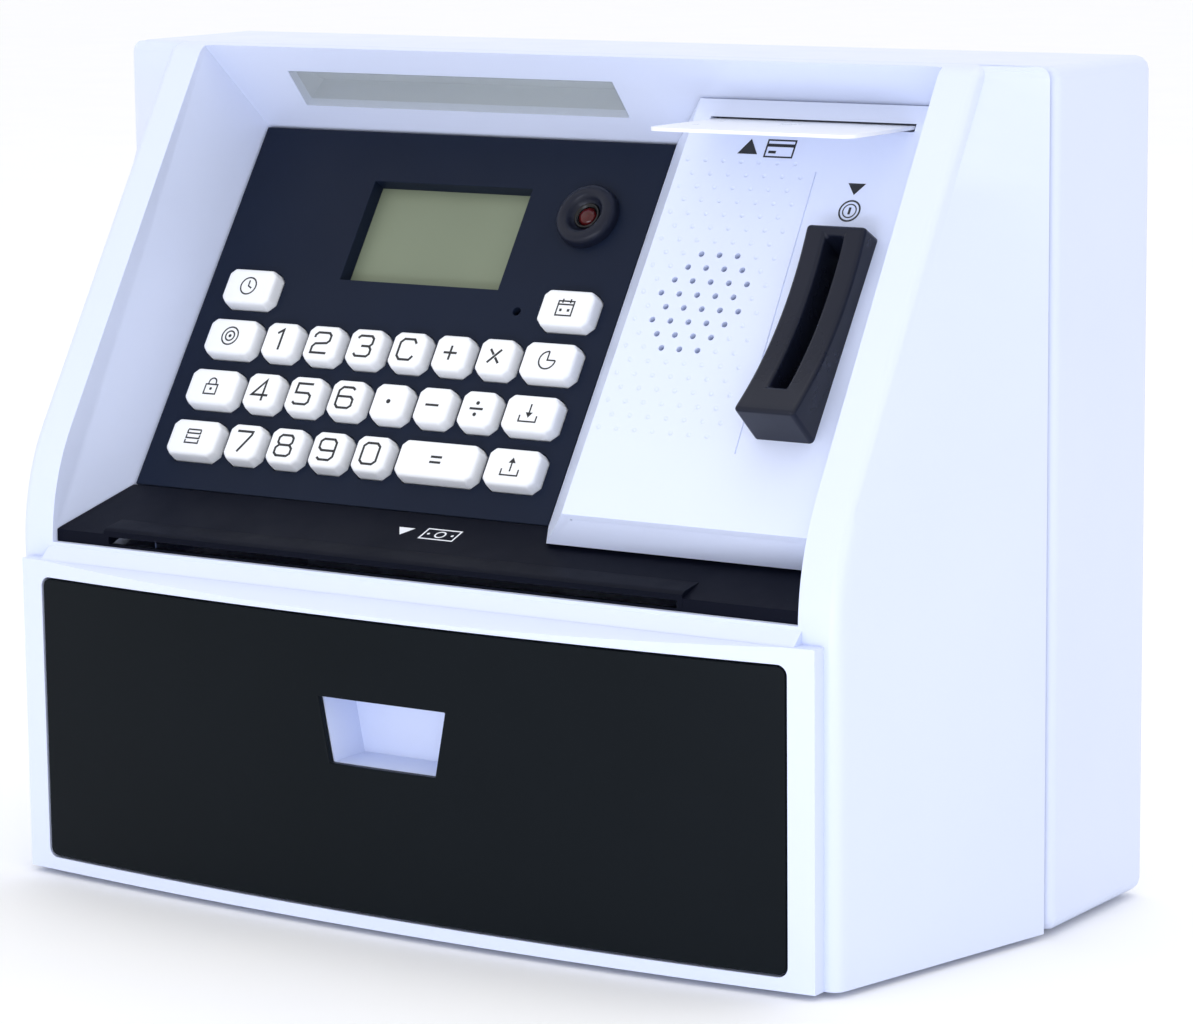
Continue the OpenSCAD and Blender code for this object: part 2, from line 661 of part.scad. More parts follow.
// Side outline of the white panel in [s, n], drawn in by t
function block_side(t) = [[t, 0], [block_foot[0] + t, block_foot[1]],
    [block_low + t, block_h - t], [block_top + block_rise - t, block_h - t], [block_top - t, 0]];
block_rise = 4.5;
// Front outline of the white panel in [x, n]
function block_front(t) = [[block_x0 + t, -t * 2], [block_x0 + block_lean + t * 0.6, block_h - t],
    [block_x1 + 2 - t, block_h - t], [block_x1 - t, -t * 2]];
module block_form(t) intersection() {
    translate([block_x0 - 5, 0, 0]) rotate([90, 0, 90]) linear_extrude(block_x1 - block_x0 + 12)
        polygon(block_side(t));
    translate([0, block_top + 20, 0]) rotate([90, 0, 0]) linear_extrude(block_top + 40)
        polygon(block_front(t));
}
hole_rows = [3, 4, 5, 5, 5, 5, 4, 3];
hole_shift = [1, 1, 1, -1, 1, -1, -1, -1];
module coin_bezel_foot(g) {
    translate([slot_x, coin_s + coin_l / 2, 0]) square([coin_w - 3 + 2 * g, coin_l - 4 + 2 * g], center = true);
}
module card_panel() color(white) placed() difference() {
    on_panel() difference() {
        block_form(0);
        translate([0, 0, -eps]) block_form(block_t);
        for (r = [0:7], i = [0:hole_rows[r] - 1])
            translate([speaker_x + (i - (hole_rows[r] - 1) / 2 + hole_shift[r] / 4) * hole_pitch_x,
                speaker_s + (3.5 - r) * hole_pitch_s, block_h - block_t - 1])
                cylinder(d = hole_d, h = block_t + 2, $fn = 16);
        translate([slot_x, coin_s + coin_l / 2, block_h - block_t - 1]) linear_extrude(block_t + 2)
            square([coin_w - 3, coin_l - 4], center = true);
        // Open back
        translate([block_x0 + block_t + 1, block_t + 1, -5]) cube([block_x1 - block_x0 - 2 * block_t - 2,
            block_top - 2 * block_t - 2, 7]);
    }
    translate([card_x - card_clear, card_y - 6, card_z - card_t / 2 - card_clear])
        cube([card_w + 2 * card_clear, 60, card_t + 2 * card_clear]);
}
module speaker() color([0.25, 0.25, 0.27]) placed() on_panel() translate([speaker_x, speaker_s, 0]) {
    translate([0, 0, block_h - block_t - 3.05]) cylinder(d = speaker_d, h = 3);
    translate([0, 0, block_h - block_t - 9.05]) cylinder(d = 18, h = 6 + eps);
}
// Side outline of the bezel in [s, n] above the white panel: a concave front
bezel_arc_r = 90;
module coin_bezel() color(black) placed() on_panel() translate([0, 0, block_h]) difference() {
    union() {
        translate([coin_x, 0, 0]) rotate([90, 0, 90]) linear_extrude(coin_w) difference() {
            polygon([[coin_s, 0], [coin_s + coin_l, 0], [coin_s + coin_l - 0.6, coin_high_top],
                [coin_s + 1.5, coin_high_low]]);
            translate([bezel_arc_s, bezel_arc_n]) circle(bezel_arc_r, $fn = 120);
        }
        translate([0, 0, -block_t - 3]) linear_extrude(block_t + 3 + eps) coin_bezel_foot(-lay_clear);
    }
    translate([slot_x - coin_slot_w / 2, slot_s, -block_t - 4]) cube([coin_slot_w, coin_slot_l, 40]);
}
// The arc passes just inside both ends of the sloping front
chord = [coin_s + 2.8, coin_high_low - 0.4];
chord_end = [coin_s + coin_l - 1.6, coin_high_top - 0.2];
chord_l = norm(chord_end - chord);
chord_a = atan2(chord_end[1] - chord[1], chord_end[0] - chord[0]);
chord_rise = sqrt(pow(bezel_arc_r, 2) - pow(chord_l / 2, 2));
bezel_arc_s = (chord[0] + chord_end[0]) / 2 - chord_rise * sin(chord_a);
bezel_arc_n = (chord[1] + chord_end[1]) / 2 + chord_rise * cos(chord_a);

// Chute in side view: outer outline, drawn in by t
chute_low_z = bow_h - 1;
chute_top_n = block_h - block_t - 3;
function panel_yz(s, n) = [panel_y + s * cos(panel_tilt) - n * sin(panel_tilt),
    panel_z + s * sin(panel_tilt) + n * cos(panel_tilt)];
function chute_side(t, open) = [
    panel_yz(slot_s - 1.5 + t, chute_top_n + open), panel_yz(slot_s + coin_slot_l + 1.5 - t, chute_top_n + open),
    [panel_yz(slot_s + coin_slot_l, 0)[0] + 12 - t, panel_yz(slot_s + coin_slot_l, 0)[1] - 6 - t],
    [chute_y2 - t, chute_low_z - open], [chute_y1 + t, chute_low_z - open],
    [chute_y1 + t, panel_yz(slot_s, 0)[1] - 4 + t]];
chute_y1 = panel_yz(slot_s, 0)[0] - 2;
chute_y2 = panel_yz(slot_s + coin_slot_l, 0)[0] + 12;
chute_half = coin_slot_w / 2 + chute_wall;
lever_z = panel_yz(slot_s, 0)[1];
lever_y = chute_y2 + 5;
module coin_chute() color([0.85, 0.86, 0.88]) placed() difference() {
    across(slot_x - chute_half, slot_x + chute_half, chute_side(0, 0));
    across(slot_x - coin_slot_w / 2, slot_x + coin_slot_w / 2, chute_side(chute_wall, 1));
    // Slot for the lever
    translate([slot_x - 1.4, chute_y2 - 3, lever_z - 13]) cube([2.8, 6, 16]);
}
lever_arm = 15;
module coin_lever() color(black) placed() translate([slot_x, lever_y, lever_z]) difference() {
    union() {
        rotate([0, 90, 0]) cylinder(d = 5, h = 2, center = true);
        translate([-1, -lever_arm, -1.2]) cube([2, lever_arm, 2.4]);
    }
    rotate([0, 90, 0]) cylinder(d = 2.2, h = 4, center = true);
}
module coin_switch() color([0.15, 0.16, 0.2]) placed() translate([slot_x, lever_y, lever_z]) {
    translate([-1.7, 0, 0]) rotate([0, 90, 0]) cylinder(d = 2, h = 3.4);
    for (x = [-3.2, 1.7]) translate([x - eps, -5, -4]) cube([1.5 + 2 * eps, 14, 7]);
    translate([-3.2, 4, -4]) cube([6.4, 5, 7]);
}

// ---------------------------------------------------------------- card
guide_end = body_d - wall;
guide_y = card_y + 16;
module card_guide() color(grey) placed() difference() {
    translate([card_x - card_clear - 1.5, guide_y, card_z - 3])
        cube([card_w + 2 * card_clear + 3, guide_end - guide_y, 6]);
    translate([card_x - card_clear, guide_y - 1, card_z - card_t / 2 - card_clear])
        cube([card_w + 2 * card_clear, guide_end - guide_y, card_t + 2 * card_clear]);
}
module card_switch() color([0.15, 0.16, 0.2]) placed()
    translate([card_x + card_w / 2 - 6, guide_end - 14, card_z - 3 - 6.4]) cube([12, 8, 6.4]);
module bank_card() color(white) placed() translate([card_x + card_w / 2, card_y - card_out + card_l / 2,
    card_z - card_t / 2]) linear_extrude(card_t) round_rect(card_w, card_l, 3.2);

// ---------------------------------------------------------------- banknote shelf
shelf_half = recess_w / 2 - lay_clear;
module note_shelf() color(black) placed() difference() {
    union() {
        intersection() {
            across(-shelf_half, shelf_half, [[shelf_y, shelf_z], [shelf_y, shelf_z + shelf_lip],
                [panel_y - 0.2, panel_z], [panel_y + 1, panel_z - 1.8]]);
            shelf_plan();
        }
        // Hood over the banknote slot
        across(note_x - 1.5, note_x + note_l + 1.5, [[shelf_y - 0.1, shelf_z + 1], [shelf_y - 0.1, shelf_z + shelf_lip + 0.8],
            [shelf_y + 1.2, shelf_z + shelf_lip + 1.6], [shelf_y + 7, shelf_z + shelf_lip + 2.5],
            [shelf_y + 7, shelf_z + 3]]);
    }
    translate([note_x, shelf_y - 3, shelf_z + 0.6]) cube([note_l, 16, note_h]);
}
// Plan of the shelf, narrowing with the recess walls
module shelf_plan() {
    translate([0, 0, shelf_z - 20]) linear_extrude(60) polygon([[-shelf_half, shelf_y - 1],
        [shelf_half, shelf_y - 1], [shelf_half, shelf_y + 1], [panel_w / 2 - lay_clear - 0.3, panel_y + 3],
        [-panel_w / 2 + lay_clear + 0.3, panel_y + 3], [-shelf_half, shelf_y + 1]]);
}

// ---------------------------------------------------------------- drawer
pull_mid_z = drawer_z + pull_z + pull_h / 2;
module pull_outline(g) {
    translate([0, pull_mid_z]) polygon([[-pull_low - g, -pull_h / 2 - g], [pull_low + g, -pull_h / 2 - g],
        [pull_top + g, pull_h / 2 + g], [-pull_top - g, pull_h / 2 + g]]);
}
module drawer_front() color(black) placed() difference() {
    intersection() {
        bow_slab(drawer_w, 0, body_h, 0, rim_y);
        upright(-1, rim_y) drawer_outline(0);
    }
    translate([0, bow_r + drawer_skin, -1]) cylinder(r = bow_r, h = body_h, $fn = 180);
    upright(-2, rim_y + 1) pull_outline(0);
}
tray_r = 1.5;
module drawer_tray() color(white) placed() difference() {
    union() {
        // Front block behind the black cover
        intersection() {
            bow_slab(tray_w, 0, body_h, drawer_skin + 0.05, tray_front + tray_wall);
            upright(-1, tray_front + tray_wall) translate([0, tray_floor_z + tray_h / 2])
                round_rect(tray_w, tray_h, tray_r);
        }
        difference() {
            translate([-tray_w / 2, tray_front, tray_floor_z]) cube([tray_w, tray_end - tray_front, tray_h]);
            translate([-tray_w / 2 + tray_wall, tray_front + tray_wall, tray_floor_z + tray_wall])
                cube([tray_w - 2 * tray_wall, tray_end - tray_front - 2 * tray_wall, tray_h]);
        }
        upright(drawer_skin + 1, pull_deep + tray_wall) pull_outline(tray_wall);
    }
    upright(-2, pull_deep) pull_outline(0);
}
// Angle on the back of the tray: the bolt drops in front of its lip
module lock_catch() color(steel) placed() translate([lock_x - 6, tray_end, catch_top - 8]) {
    cube([12, 9, 1.5]);
    translate([0, 7.5, 0]) cube([12, 1.5, 8]);
}
bolt_d = 4.2;
bolt_lift = 4.5;
catch_top = tray_floor_z + tray_h - 6;
lock_y = tray_end + 5;
solenoid_z = catch_top + bolt_lift + 5;
solenoid_h = 20;
module lock_solenoid() color(steel) placed() translate([lock_x, lock_y, solenoid_z]) difference() {
    union() {
        translate([-9, -8, 0]) cube([18, 16, solenoid_h]);
        // Plate screwed to the back wall
        translate([-14, 8 - eps, 0]) cube([28, body_d - wall - lock_y - 8 + eps, solenoid_h]);
    }
    translate([0, 0, -1]) cylinder(d = bolt_d + 0.6, h = solenoid_h + 2);
}
bolt_l = solenoid_z + solenoid_h + bolt_lift + 0.6 - catch_top - 1;
module lock_bolt() color([0.6, 0.6, 0.62]) placed() translate([lock_x, lock_y, catch_top + 1]) {
    cylinder(d = bolt_d, h = bolt_l);
    translate([0, 0, bolt_l - eps]) cylinder(d = 8, h = 1.5);
}

front_housing();
rear_housing();
battery_door();
batteries();
battery_contacts();
rubber_feet();
housing_screws();
keypad_panel();
keypad_membrane();
main_board();
board_screws();
display_lens();
display_module();
camera_ring();
camera_lens();
camera_module();
window_lens();
light_box();
led_strip();
card_panel();
speaker();
coin_bezel();
coin_chute();
coin_lever();
coin_switch();
card_guide();
card_switch();
bank_card();
note_shelf();
drawer_front();
drawer_tray();
lock_catch();
lock_solenoid();
lock_bolt();
key_1();
key_2();
key_3();
key_4();
key_5();
key_6();
key_7();
key_8();
key_9();
key_0();
key_clear();
key_point();
key_plus();
key_minus();
key_times();
key_divide();
key_equals();
key_clock();
key_goal();
key_password();
key_balance();
key_days();
key_shortfall();
key_deposit();
key_withdraw();
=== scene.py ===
# Toy cash machine savings bank: moulded shells, keypad, display, coin bezel, card and cash drawer
import json
import math

import bmesh
import bpy
from mathutils import Matrix, Vector


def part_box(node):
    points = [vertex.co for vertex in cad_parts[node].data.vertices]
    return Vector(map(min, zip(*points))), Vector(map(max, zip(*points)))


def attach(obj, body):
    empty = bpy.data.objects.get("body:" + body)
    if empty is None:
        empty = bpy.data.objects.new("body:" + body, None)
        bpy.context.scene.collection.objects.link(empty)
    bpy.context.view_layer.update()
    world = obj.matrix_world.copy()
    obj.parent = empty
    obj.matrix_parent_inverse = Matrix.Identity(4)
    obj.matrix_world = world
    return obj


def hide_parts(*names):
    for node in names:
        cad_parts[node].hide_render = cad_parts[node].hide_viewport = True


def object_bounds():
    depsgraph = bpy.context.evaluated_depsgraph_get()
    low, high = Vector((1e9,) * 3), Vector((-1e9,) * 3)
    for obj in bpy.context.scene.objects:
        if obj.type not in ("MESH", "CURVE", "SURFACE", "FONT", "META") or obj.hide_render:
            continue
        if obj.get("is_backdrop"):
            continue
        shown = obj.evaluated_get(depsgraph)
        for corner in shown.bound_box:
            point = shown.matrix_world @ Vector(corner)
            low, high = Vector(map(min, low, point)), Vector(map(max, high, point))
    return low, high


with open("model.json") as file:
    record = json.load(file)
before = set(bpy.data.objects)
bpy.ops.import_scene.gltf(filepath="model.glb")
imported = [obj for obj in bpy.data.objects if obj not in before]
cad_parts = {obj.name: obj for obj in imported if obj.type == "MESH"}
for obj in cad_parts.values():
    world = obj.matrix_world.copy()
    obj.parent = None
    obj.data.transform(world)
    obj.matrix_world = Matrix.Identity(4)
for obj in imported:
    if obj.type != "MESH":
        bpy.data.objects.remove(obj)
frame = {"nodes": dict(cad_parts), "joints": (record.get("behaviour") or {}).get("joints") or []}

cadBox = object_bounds()
mm = 0.001
print("stage: frame loaded")


# ---- small helpers
def linear(hexColour, alpha=1.0):  # sRGB hex to the linear values that Blender wants
    channels = [int(hexColour[i:i + 2], 16) / 255 for i in (1, 3, 5)]
    return tuple(c / 12.92 if c <= 0.04045 else ((c + 0.055) / 1.055) ** 2.4 for c in channels) + (alpha,)


def addNode(tree, kind, settings=None, **links):  # settings: properties and sockets; links: socket=output
    node = tree.nodes.new(kind)
    for key, value in (settings or {}).items():
        if hasattr(node, key) and key not in node.inputs:
            setattr(node, key, value)
        else:
            node.inputs[key].default_value = value
    for key, output in links.items():
        socket = node.inputs[int(key[2:])] if key.startswith("in") and key[2:].isdigit() else node.inputs[key]
        tree.links.new(output, socket)
    return node


def startMaterial(name, colour, roughness, ior=1.46, **sockets):
    material = bpy.data.materials.new(name)
    material.use_nodes = True
    tree = material.node_tree
    shader = tree.nodes["Principled BSDF"]
    shader.inputs["Base Color"].default_value = linear(colour)
    shader.inputs["Roughness"].default_value = roughness
    shader.inputs["IOR"].default_value = ior
    for key, value in sockets.items():
        shader.inputs[key.replace("_", " ")].default_value = value
    place = addNode(tree, "ShaderNodeTexCoord").outputs["Object"]
    return material, tree, shader, place


def perMetre(sizeMm):  # texture scale that gives features of this size
    return 1000 / sizeMm


# ---- moulded plastics: base colour drift, smudged gloss and the fine texture left by the mould
mouldPattern = {"driftMm": 60, "handledMm": 14, "speckMm": 9, "speckInner": 0.018, "speckOuter": 0.03,
                "speckCover": 0.45, "speckColour": "#B9BDC4"}


def mouldedPlastic(name, colour, tint, roughness, smudge, grainMm, grainDeep, ior=1.5, dust=0.0, **sockets):
    material, tree, shader, place = startMaterial(name, colour, roughness, ior, **sockets)
    drift = addNode(tree, "ShaderNodeTexNoise", {"Scale": perMetre(mouldPattern["driftMm"]), "Detail": 3.0},
                    Vector=place)
    mix = addNode(tree, "ShaderNodeMix", {"data_type": "RGBA"}, Factor=drift.outputs["Fac"])
    mix.inputs[6].default_value = linear(colour)
    mix.inputs[7].default_value = linear(tint)
    colourOut = mix.outputs[2]
    if dust:  # pale specks of dust, drawn coarser than real ones so that they show
        speck = addNode(tree, "ShaderNodeTexVoronoi", {"Scale": perMetre(mouldPattern["speckMm"])},
                        Vector=place)
        near = addNode(tree, "ShaderNodeMapRange", {"From Min": mouldPattern["speckInner"], "To Min": 1.0,
                                                   "From Max": mouldPattern["speckOuter"], "To Max": 0.0},
                       Value=speck.outputs["Distance"])
        pick = addNode(tree, "ShaderNodeSeparateColor", None, Color=speck.outputs["Color"])
        rare = addNode(tree, "ShaderNodeMath", {"operation": "GREATER_THAN"}, in0=pick.outputs["Red"])
        rare.inputs[1].default_value = 1 - dust
        both = addNode(tree, "ShaderNodeMath", {"operation": "MULTIPLY"}, in0=near.outputs["Result"],
                       in1=rare.outputs[0])
        cover = addNode(tree, "ShaderNodeMath", {"operation": "MULTIPLY"}, in0=both.outputs[0])
        cover.inputs[1].default_value = mouldPattern["speckCover"]
        dusty = addNode(tree, "ShaderNodeMix", {"data_type": "RGBA"}, Factor=cover.outputs[0])
        tree.links.new(colourOut, dusty.inputs[6])
        dusty.inputs[7].default_value = linear(mouldPattern["speckColour"])
        colourOut = dusty.outputs[2]
    tree.links.new(colourOut, shader.inputs["Base Color"])
    handled = addNode(tree, "ShaderNodeTexNoise", {"Scale": perMetre(mouldPattern["handledMm"]),
                                                   "Detail": 5.0, "Roughness": 0.6}, Vector=place)
    gloss = addNode(tree, "ShaderNodeMapRange", {"From Min": 0.3, "To Min": roughness - smudge,
                                                 "From Max": 0.7, "To Max": roughness + smudge},
                    Value=handled.outputs["Fac"])
    tree.links.new(gloss.outputs["Result"], shader.inputs["Roughness"])
    grain = addNode(tree, "ShaderNodeTexNoise", {"Scale": perMetre(grainMm), "Detail": 2.0}, Vector=place)
    bump = addNode(tree, "ShaderNodeBump", {"Strength": 1.0, "Distance": grainDeep * mm},
                   Height=grain.outputs["Fac"])
    tree.links.new(bump.outputs["Normal"], shader.inputs["Normal"])
    return material


def padInk(name, colour):  # pad-printed ink: thin, slightly uneven film
    return mouldedPlastic(name, colour, colour, 0.45, 0.06, 0.4, 0.004)


# name, colour, second colour, roughness, smudge, grain size and grain depth in mm
whiteAbs = mouldedPlastic("glossWhiteAbs", "#D9E1F7", "#D4DDF6", 0.36, 0.05, 0.7, 0.006,
                          Specular_IOR_Level=0.35)
blackPanelAbs = mouldedPlastic("satinBlackAbs", "#131A2A", "#182134", 0.4, 0.07, 0.5, 0.006,
                               Specular_IOR_Level=0.09)
# the note shelf is the keypad panel's black plastic drawn darker, with a weaker specular: painted shade for
# its place under the block, deep in the recess
shadedShelfAbs = mouldedPlastic("satinShelfAbsWithPaintedShade", "#0A0D18", "#0E111E", 0.42, 0.07, 0.5, 0.006,
                          Specular_IOR_Level=0.04)
drawerAbs = mouldedPlastic("glossBlackAbs", "#0D1216", "#11161B", 0.34, 0.05, 0.6, 0.005, dust=0.3,
                           Specular_IOR_Level=0.06)
keyAbs = mouldedPlastic("semiGlossKeyAbs", "#F1F3F6", "#EDEFF3", 0.4, 0.05, 0.5, 0.005,
                        Specular_IOR_Level=0.35)
bezelAbs = mouldedPlastic("satinBezelAbs", "#121624", "#181C2B", 0.3, 0.06, 0.45, 0.008,
                          Specular_IOR_Level=0.22)
greyAbs = mouldedPlastic("matteGreyAbs", "#A4A9AB", "#9A9FA2", 0.55, 0.05, 0.5, 0.01)
blackAbs = mouldedPlastic("matteBlackAbs", "#1B1C20", "#232429", 0.6, 0.05, 0.5, 0.01)
rubber = mouldedPlastic("mouldedRubber", "#17181A", "#202124", 0.8, 0.06, 0.35, 0.03)
silicone = mouldedPlastic("mouldedSilicone", "#BFC1C6", "#B4B7BC", 0.6, 0.05, 0.4, 0.01)
boardMask = mouldedPlastic("greenSolderMask", "#1F5A33", "#184A2A", 0.35, 0.05, 1.2, 0.02)
inkBlack = padInk("padPrintedBlackInk", "#14161B")
inkWhite = padInk("padPrintedWhiteInk", "#E9ECF2")
ledResin = mouldedPlastic("ledResin", "#E4E6E0", "#DADDD6", 0.3, 0.05, 0.5, 0.005)
reflectorAbs = mouldedPlastic("reflectorAbs", "#B9C1CC", "#ADB6C2", 0.5, 0.05, 0.5, 0.008)
cardPvc = mouldedPlastic("laminatedCardPvc", "#F1F3F8", "#ECEFF6", 0.3, 0.05, 0.8, 0.003,
                         Specular_IOR_Level=0.3)
barrelAbs = mouldedPlastic("blackBarrelAbs", "#07080C", "#0B0D12", 0.25, 0.05, 0.4, 0.005,
                           Specular_IOR_Level=0.3)
cellSleeve = mouldedPlastic("printedCellSleeve", "#2E5A4C", "#264C40", 0.28, 0.05, 0.6, 0.004)


steelPattern = {"brushMm": 1.5, "stretch": 14.0, "grooveMm": 0.006, "brighter": 0.08, "duller": 0.1}


def platedSteel(name, colour, roughness):  # zinc plated steel: fine directional polish
    material, tree, shader, place = startMaterial(name, colour, roughness, 1.5, Metallic=1.0)
    stretch = addNode(tree, "ShaderNodeMapping", {"Scale": (1.0, 1.0, steelPattern["stretch"])}, Vector=place)
    brush = addNode(tree, "ShaderNodeTexNoise", {"Scale": perMetre(steelPattern["brushMm"]), "Detail": 4.0},
                    Vector=stretch.outputs["Vector"])
    gloss = addNode(tree, "ShaderNodeMapRange", {"To Min": roughness - steelPattern["brighter"],
                                                 "To Max": roughness + steelPattern["duller"]},
                    Value=brush.outputs["Fac"])
    tree.links.new(gloss.outputs["Result"], shader.inputs["Roughness"])
    bump = addNode(tree, "ShaderNodeBump", {"Distance": steelPattern["grooveMm"] * mm},
                   Height=brush.outputs["Fac"])
    tree.links.new(bump.outputs["Normal"], shader.inputs["Normal"])
    return material


steel = platedSteel("zincPlatedSteel", "#C4C5C8", 0.32)


def mixedColour(tree, factor, first, second, shader):  # one colour drifts into the other
    mix = addNode(tree, "ShaderNodeMix", {"data_type": "RGBA"}, Factor=factor)
    mix.inputs[6].default_value = linear(first)
    mix.inputs[7].default_value = linear(second)
    tree.links.new(mix.outputs[2], shader.inputs["Base Color"])


displayPlan = {"dark": "#757E6A", "light": "#838C77", "cloudMm": 40, "filmMm": 0.35, "filmDeep": 0.003}


def liquidCrystal(name):  # reflective liquid crystal cell: olive-grey film under a satin polariser
    material, tree, shader, place = startMaterial(name, displayPlan["dark"], 0.42, 1.5,
                                                  Specular_IOR_Level=0.2)
    cloud = addNode(tree, "ShaderNodeTexNoise", {"Scale": perMetre(displayPlan["cloudMm"]), "Detail": 2.0},
                    Vector=place)
    mixedColour(tree, cloud.outputs["Fac"], displayPlan["dark"], displayPlan["light"], shader)
    film = addNode(tree, "ShaderNodeTexNoise", {"Scale": perMetre(displayPlan["filmMm"]), "Detail": 1.0},
                   Vector=place)
    bump = addNode(tree, "ShaderNodeBump", {"Distance": displayPlan["filmDeep"] * mm},
                   Height=film.outputs["Fac"])
    tree.links.new(bump.outputs["Normal"], shader.inputs["Normal"])
    return material


windowPlan = {"tint": "#DDE4E4", "cover": 0.22, "roughness": 0.08, "hazeMm": 12, "haze": 0.12}


def clearPlastic(name):  # injection moulded clear polystyrene, thin enough to see through
    material, tree, shader, place = startMaterial(name, windowPlan["tint"], windowPlan["roughness"], 1.5,
                                                  Alpha=windowPlan["cover"])
    haze = addNode(tree, "ShaderNodeTexNoise", {"Scale": perMetre(windowPlan["hazeMm"]), "Detail": 3.0},
                   Vector=place)
    gloss = addNode(tree, "ShaderNodeMapRange", {"To Min": windowPlan["roughness"],
                                                 "To Max": windowPlan["roughness"] + windowPlan["haze"]},
                    Value=haze.outputs["Fac"])
    tree.links.new(gloss.outputs["Result"], shader.inputs["Roughness"])
    return material


lensPlan = {"deep": "#1C0205", "bright": "#5A080D", "swirlMm": 2}


def redLens(name):  # dyed acrylic dome over a dark barrel
    material, tree, shader, place = startMaterial(name, lensPlan["deep"], 0.08, 1.49, Coat_Weight=0.3,
                                                  Coat_Roughness=0.03, Specular_IOR_Level=0.25)
    swirl = addNode(tree, "ShaderNodeTexNoise", {"Scale": perMetre(lensPlan["swirlMm"]), "Detail": 2.0},
                    Vector=place)
    mixedColour(tree, swirl.outputs["Fac"], lensPlan["deep"], lensPlan["bright"], shader)
    return material


lcdFilm = liquidCrystal("reflectiveLcdFilm")
windowClear = clearPlastic("clearPolystyrene")
lensRed = redLens("dyedAcrylicDome")
print("stage: materials made")


# ---- mesh helpers
def newPiece(name, bm, material, body, replaced=(), smoothAngle=35):
    mesh = bpy.data.meshes.new(name)
    bmesh.ops.recalc_face_normals(bm, faces=bm.faces)
    bm.to_mesh(mesh)
    bm.free()
    for polygon in mesh.polygons:
        polygon.use_smooth = True
    mesh.set_sharp_from_angle(angle=math.radians(smoothAngle))
    piece = bpy.data.objects.new(name, mesh)
    bpy.context.scene.collection.objects.link(piece)
    mesh.materials.append(material)
    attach(piece, body)
    if replaced:
        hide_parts(*replaced)
    return piece


def roundedPolygon(points, radius, steps):  # convex outline with every corner turned on an arc
    outline = []
    count = len(points)
    for i in range(count):
        here, before, after = Vector(points[i]), Vector(points[i - 1]), Vector(points[(i + 1) % count])
        toBefore, toAfter = (before - here).normalized(), (after - here).normalized()
        half = toBefore.angle(toAfter) / 2
        centre = here + (toBefore + toAfter).normalized() * (radius / math.sin(half))
        start = here + toBefore * (radius / math.tan(half)) - centre
        end = here + toAfter * (radius / math.tan(half)) - centre
        turn = start.angle_signed(end)
        for k in range(steps + 1):
            outline.append(centre + Matrix.Rotation(-turn * k / steps, 2) @ start)
    return outline


def loft(bm, rings, capStart=True, capEnd=True):  # skin through rings of equal point count
    levels = [[bm.verts.new(p) for p in ring] for ring in rings]
    count = len(levels[0])
    for low, high in zip(levels, levels[1:]):
        for i in range(count):
            bm.faces.new((low[i], low[(i + 1) % count], high[(i + 1) % count], high[i]))
    if capStart:
        bm.faces.new(list(reversed(levels[0])))
    if capEnd:
        bm.faces.new(levels[-1])
    return levels


def flattenFaces(piece):  # broad faces keep an even shade beside their rounded edges
    flatten = piece.modifiers.new("broadFacesFlat", "WEIGHTED_NORMAL")
    flatten.keep_sharp = True


shellRounding = {"sharpAngle": 34, "segments": 2, "flatAngle": 0.4}


def wholeFaces(mesh):  # the surface of a CAD solid, merged into whole faces
    bm = bmesh.new()
    bm.from_mesh(mesh)
    bmesh.ops.remove_doubles(bm, verts=bm.verts, dist=1e-6)
    bmesh.ops.dissolve_limit(bm, angle_limit=math.radians(shellRounding["flatAngle"]), verts=bm.verts,
                             edges=bm.edges)
    return bm


def roundEdges(bm, width, segments, limit=None, clamp=True):
    sharp = math.radians(shellRounding["sharpAngle"])
    edges = [e for e in bm.edges if e.is_manifold and e.calc_face_angle() > sharp
             and (limit is None or limit(e))]
    bmesh.ops.bevel(bm, geom=edges, offset=width, segments=segments, profile=0.5, affect="EDGES",
                    clamp_overlap=clamp)
    return bm


# ---- where the sloping panel lies, from the keys' own boxes and the direction they travel in
pressAxis = Vector(next(j["axis"] for j in frame["joints"] if j["child"] == "key_5"))
outward = -pressAxis  # square to the panel, towards the user
upward = Vector((0, outward.z, -outward.y))
keyPlan = {"proud": 3.4 * mm, "halfHigh": 5.0 * mm, "firstRow": 12.7 * mm}


def placeOnPanel(node, halfHigh, proud):  # foot point of a part that stands square on the panel
    low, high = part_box(node)
    y = low.y + abs(outward.y) * proud + upward.y * halfHigh
    z = high.z - outward.z * proud - upward.z * halfHigh
    return Vector(((low.x + high.x) / 2, y, z))


panelFoot = placeOnPanel("key_balance", keyPlan["halfHigh"], keyPlan["proud"]) - upward * keyPlan["firstRow"]
panelFoot.x = 0


def onPanel(x, s, n):
    return panelFoot + Vector((x, 0, 0)) + upward * s + outward * n


def panelMatrix(origin):  # local x right, y up the slope, z out of the panel
    axes = Matrix((Vector((1, 0, 0)), upward, outward)).transposed()
    return Matrix.Translation(origin) @ axes.to_4x4()


print("stage: panel at", [round(v, 5) for v in panelFoot], "up", [round(v, 4) for v in upward])


# ---- key caps
capPlan = {"halfHigh": 5.0 * mm, "cut": 1.6 * mm, "corner": 0.9 * mm, "skirt": 2.4 * mm,
           "profile": ((0.0, 0.0), (0.16, 2.2), (0.28, 2.8), (0.48, 3.15), (0.8, 3.34), (1.25, 3.4),
                       (1.8, 3.4)), "flange": 0.8 * mm, "cutLoss": 0.586, "cornerLoss": 0.2}


def capOutline(halfWide, inset):
    w, h = halfWide - inset, capPlan["halfHigh"] - inset
    cut = capPlan["cut"] - inset * capPlan["cutLoss"]
    points = [(w, -h + cut), (w, h - cut), (w - cut, h), (-w + cut, h), (-w, h - cut), (-w, -h + cut),
              (-w + cut, -h), (w - cut, -h)]
    return roundedPolygon(points, capPlan["corner"] - inset * capPlan["cornerLoss"], 3)


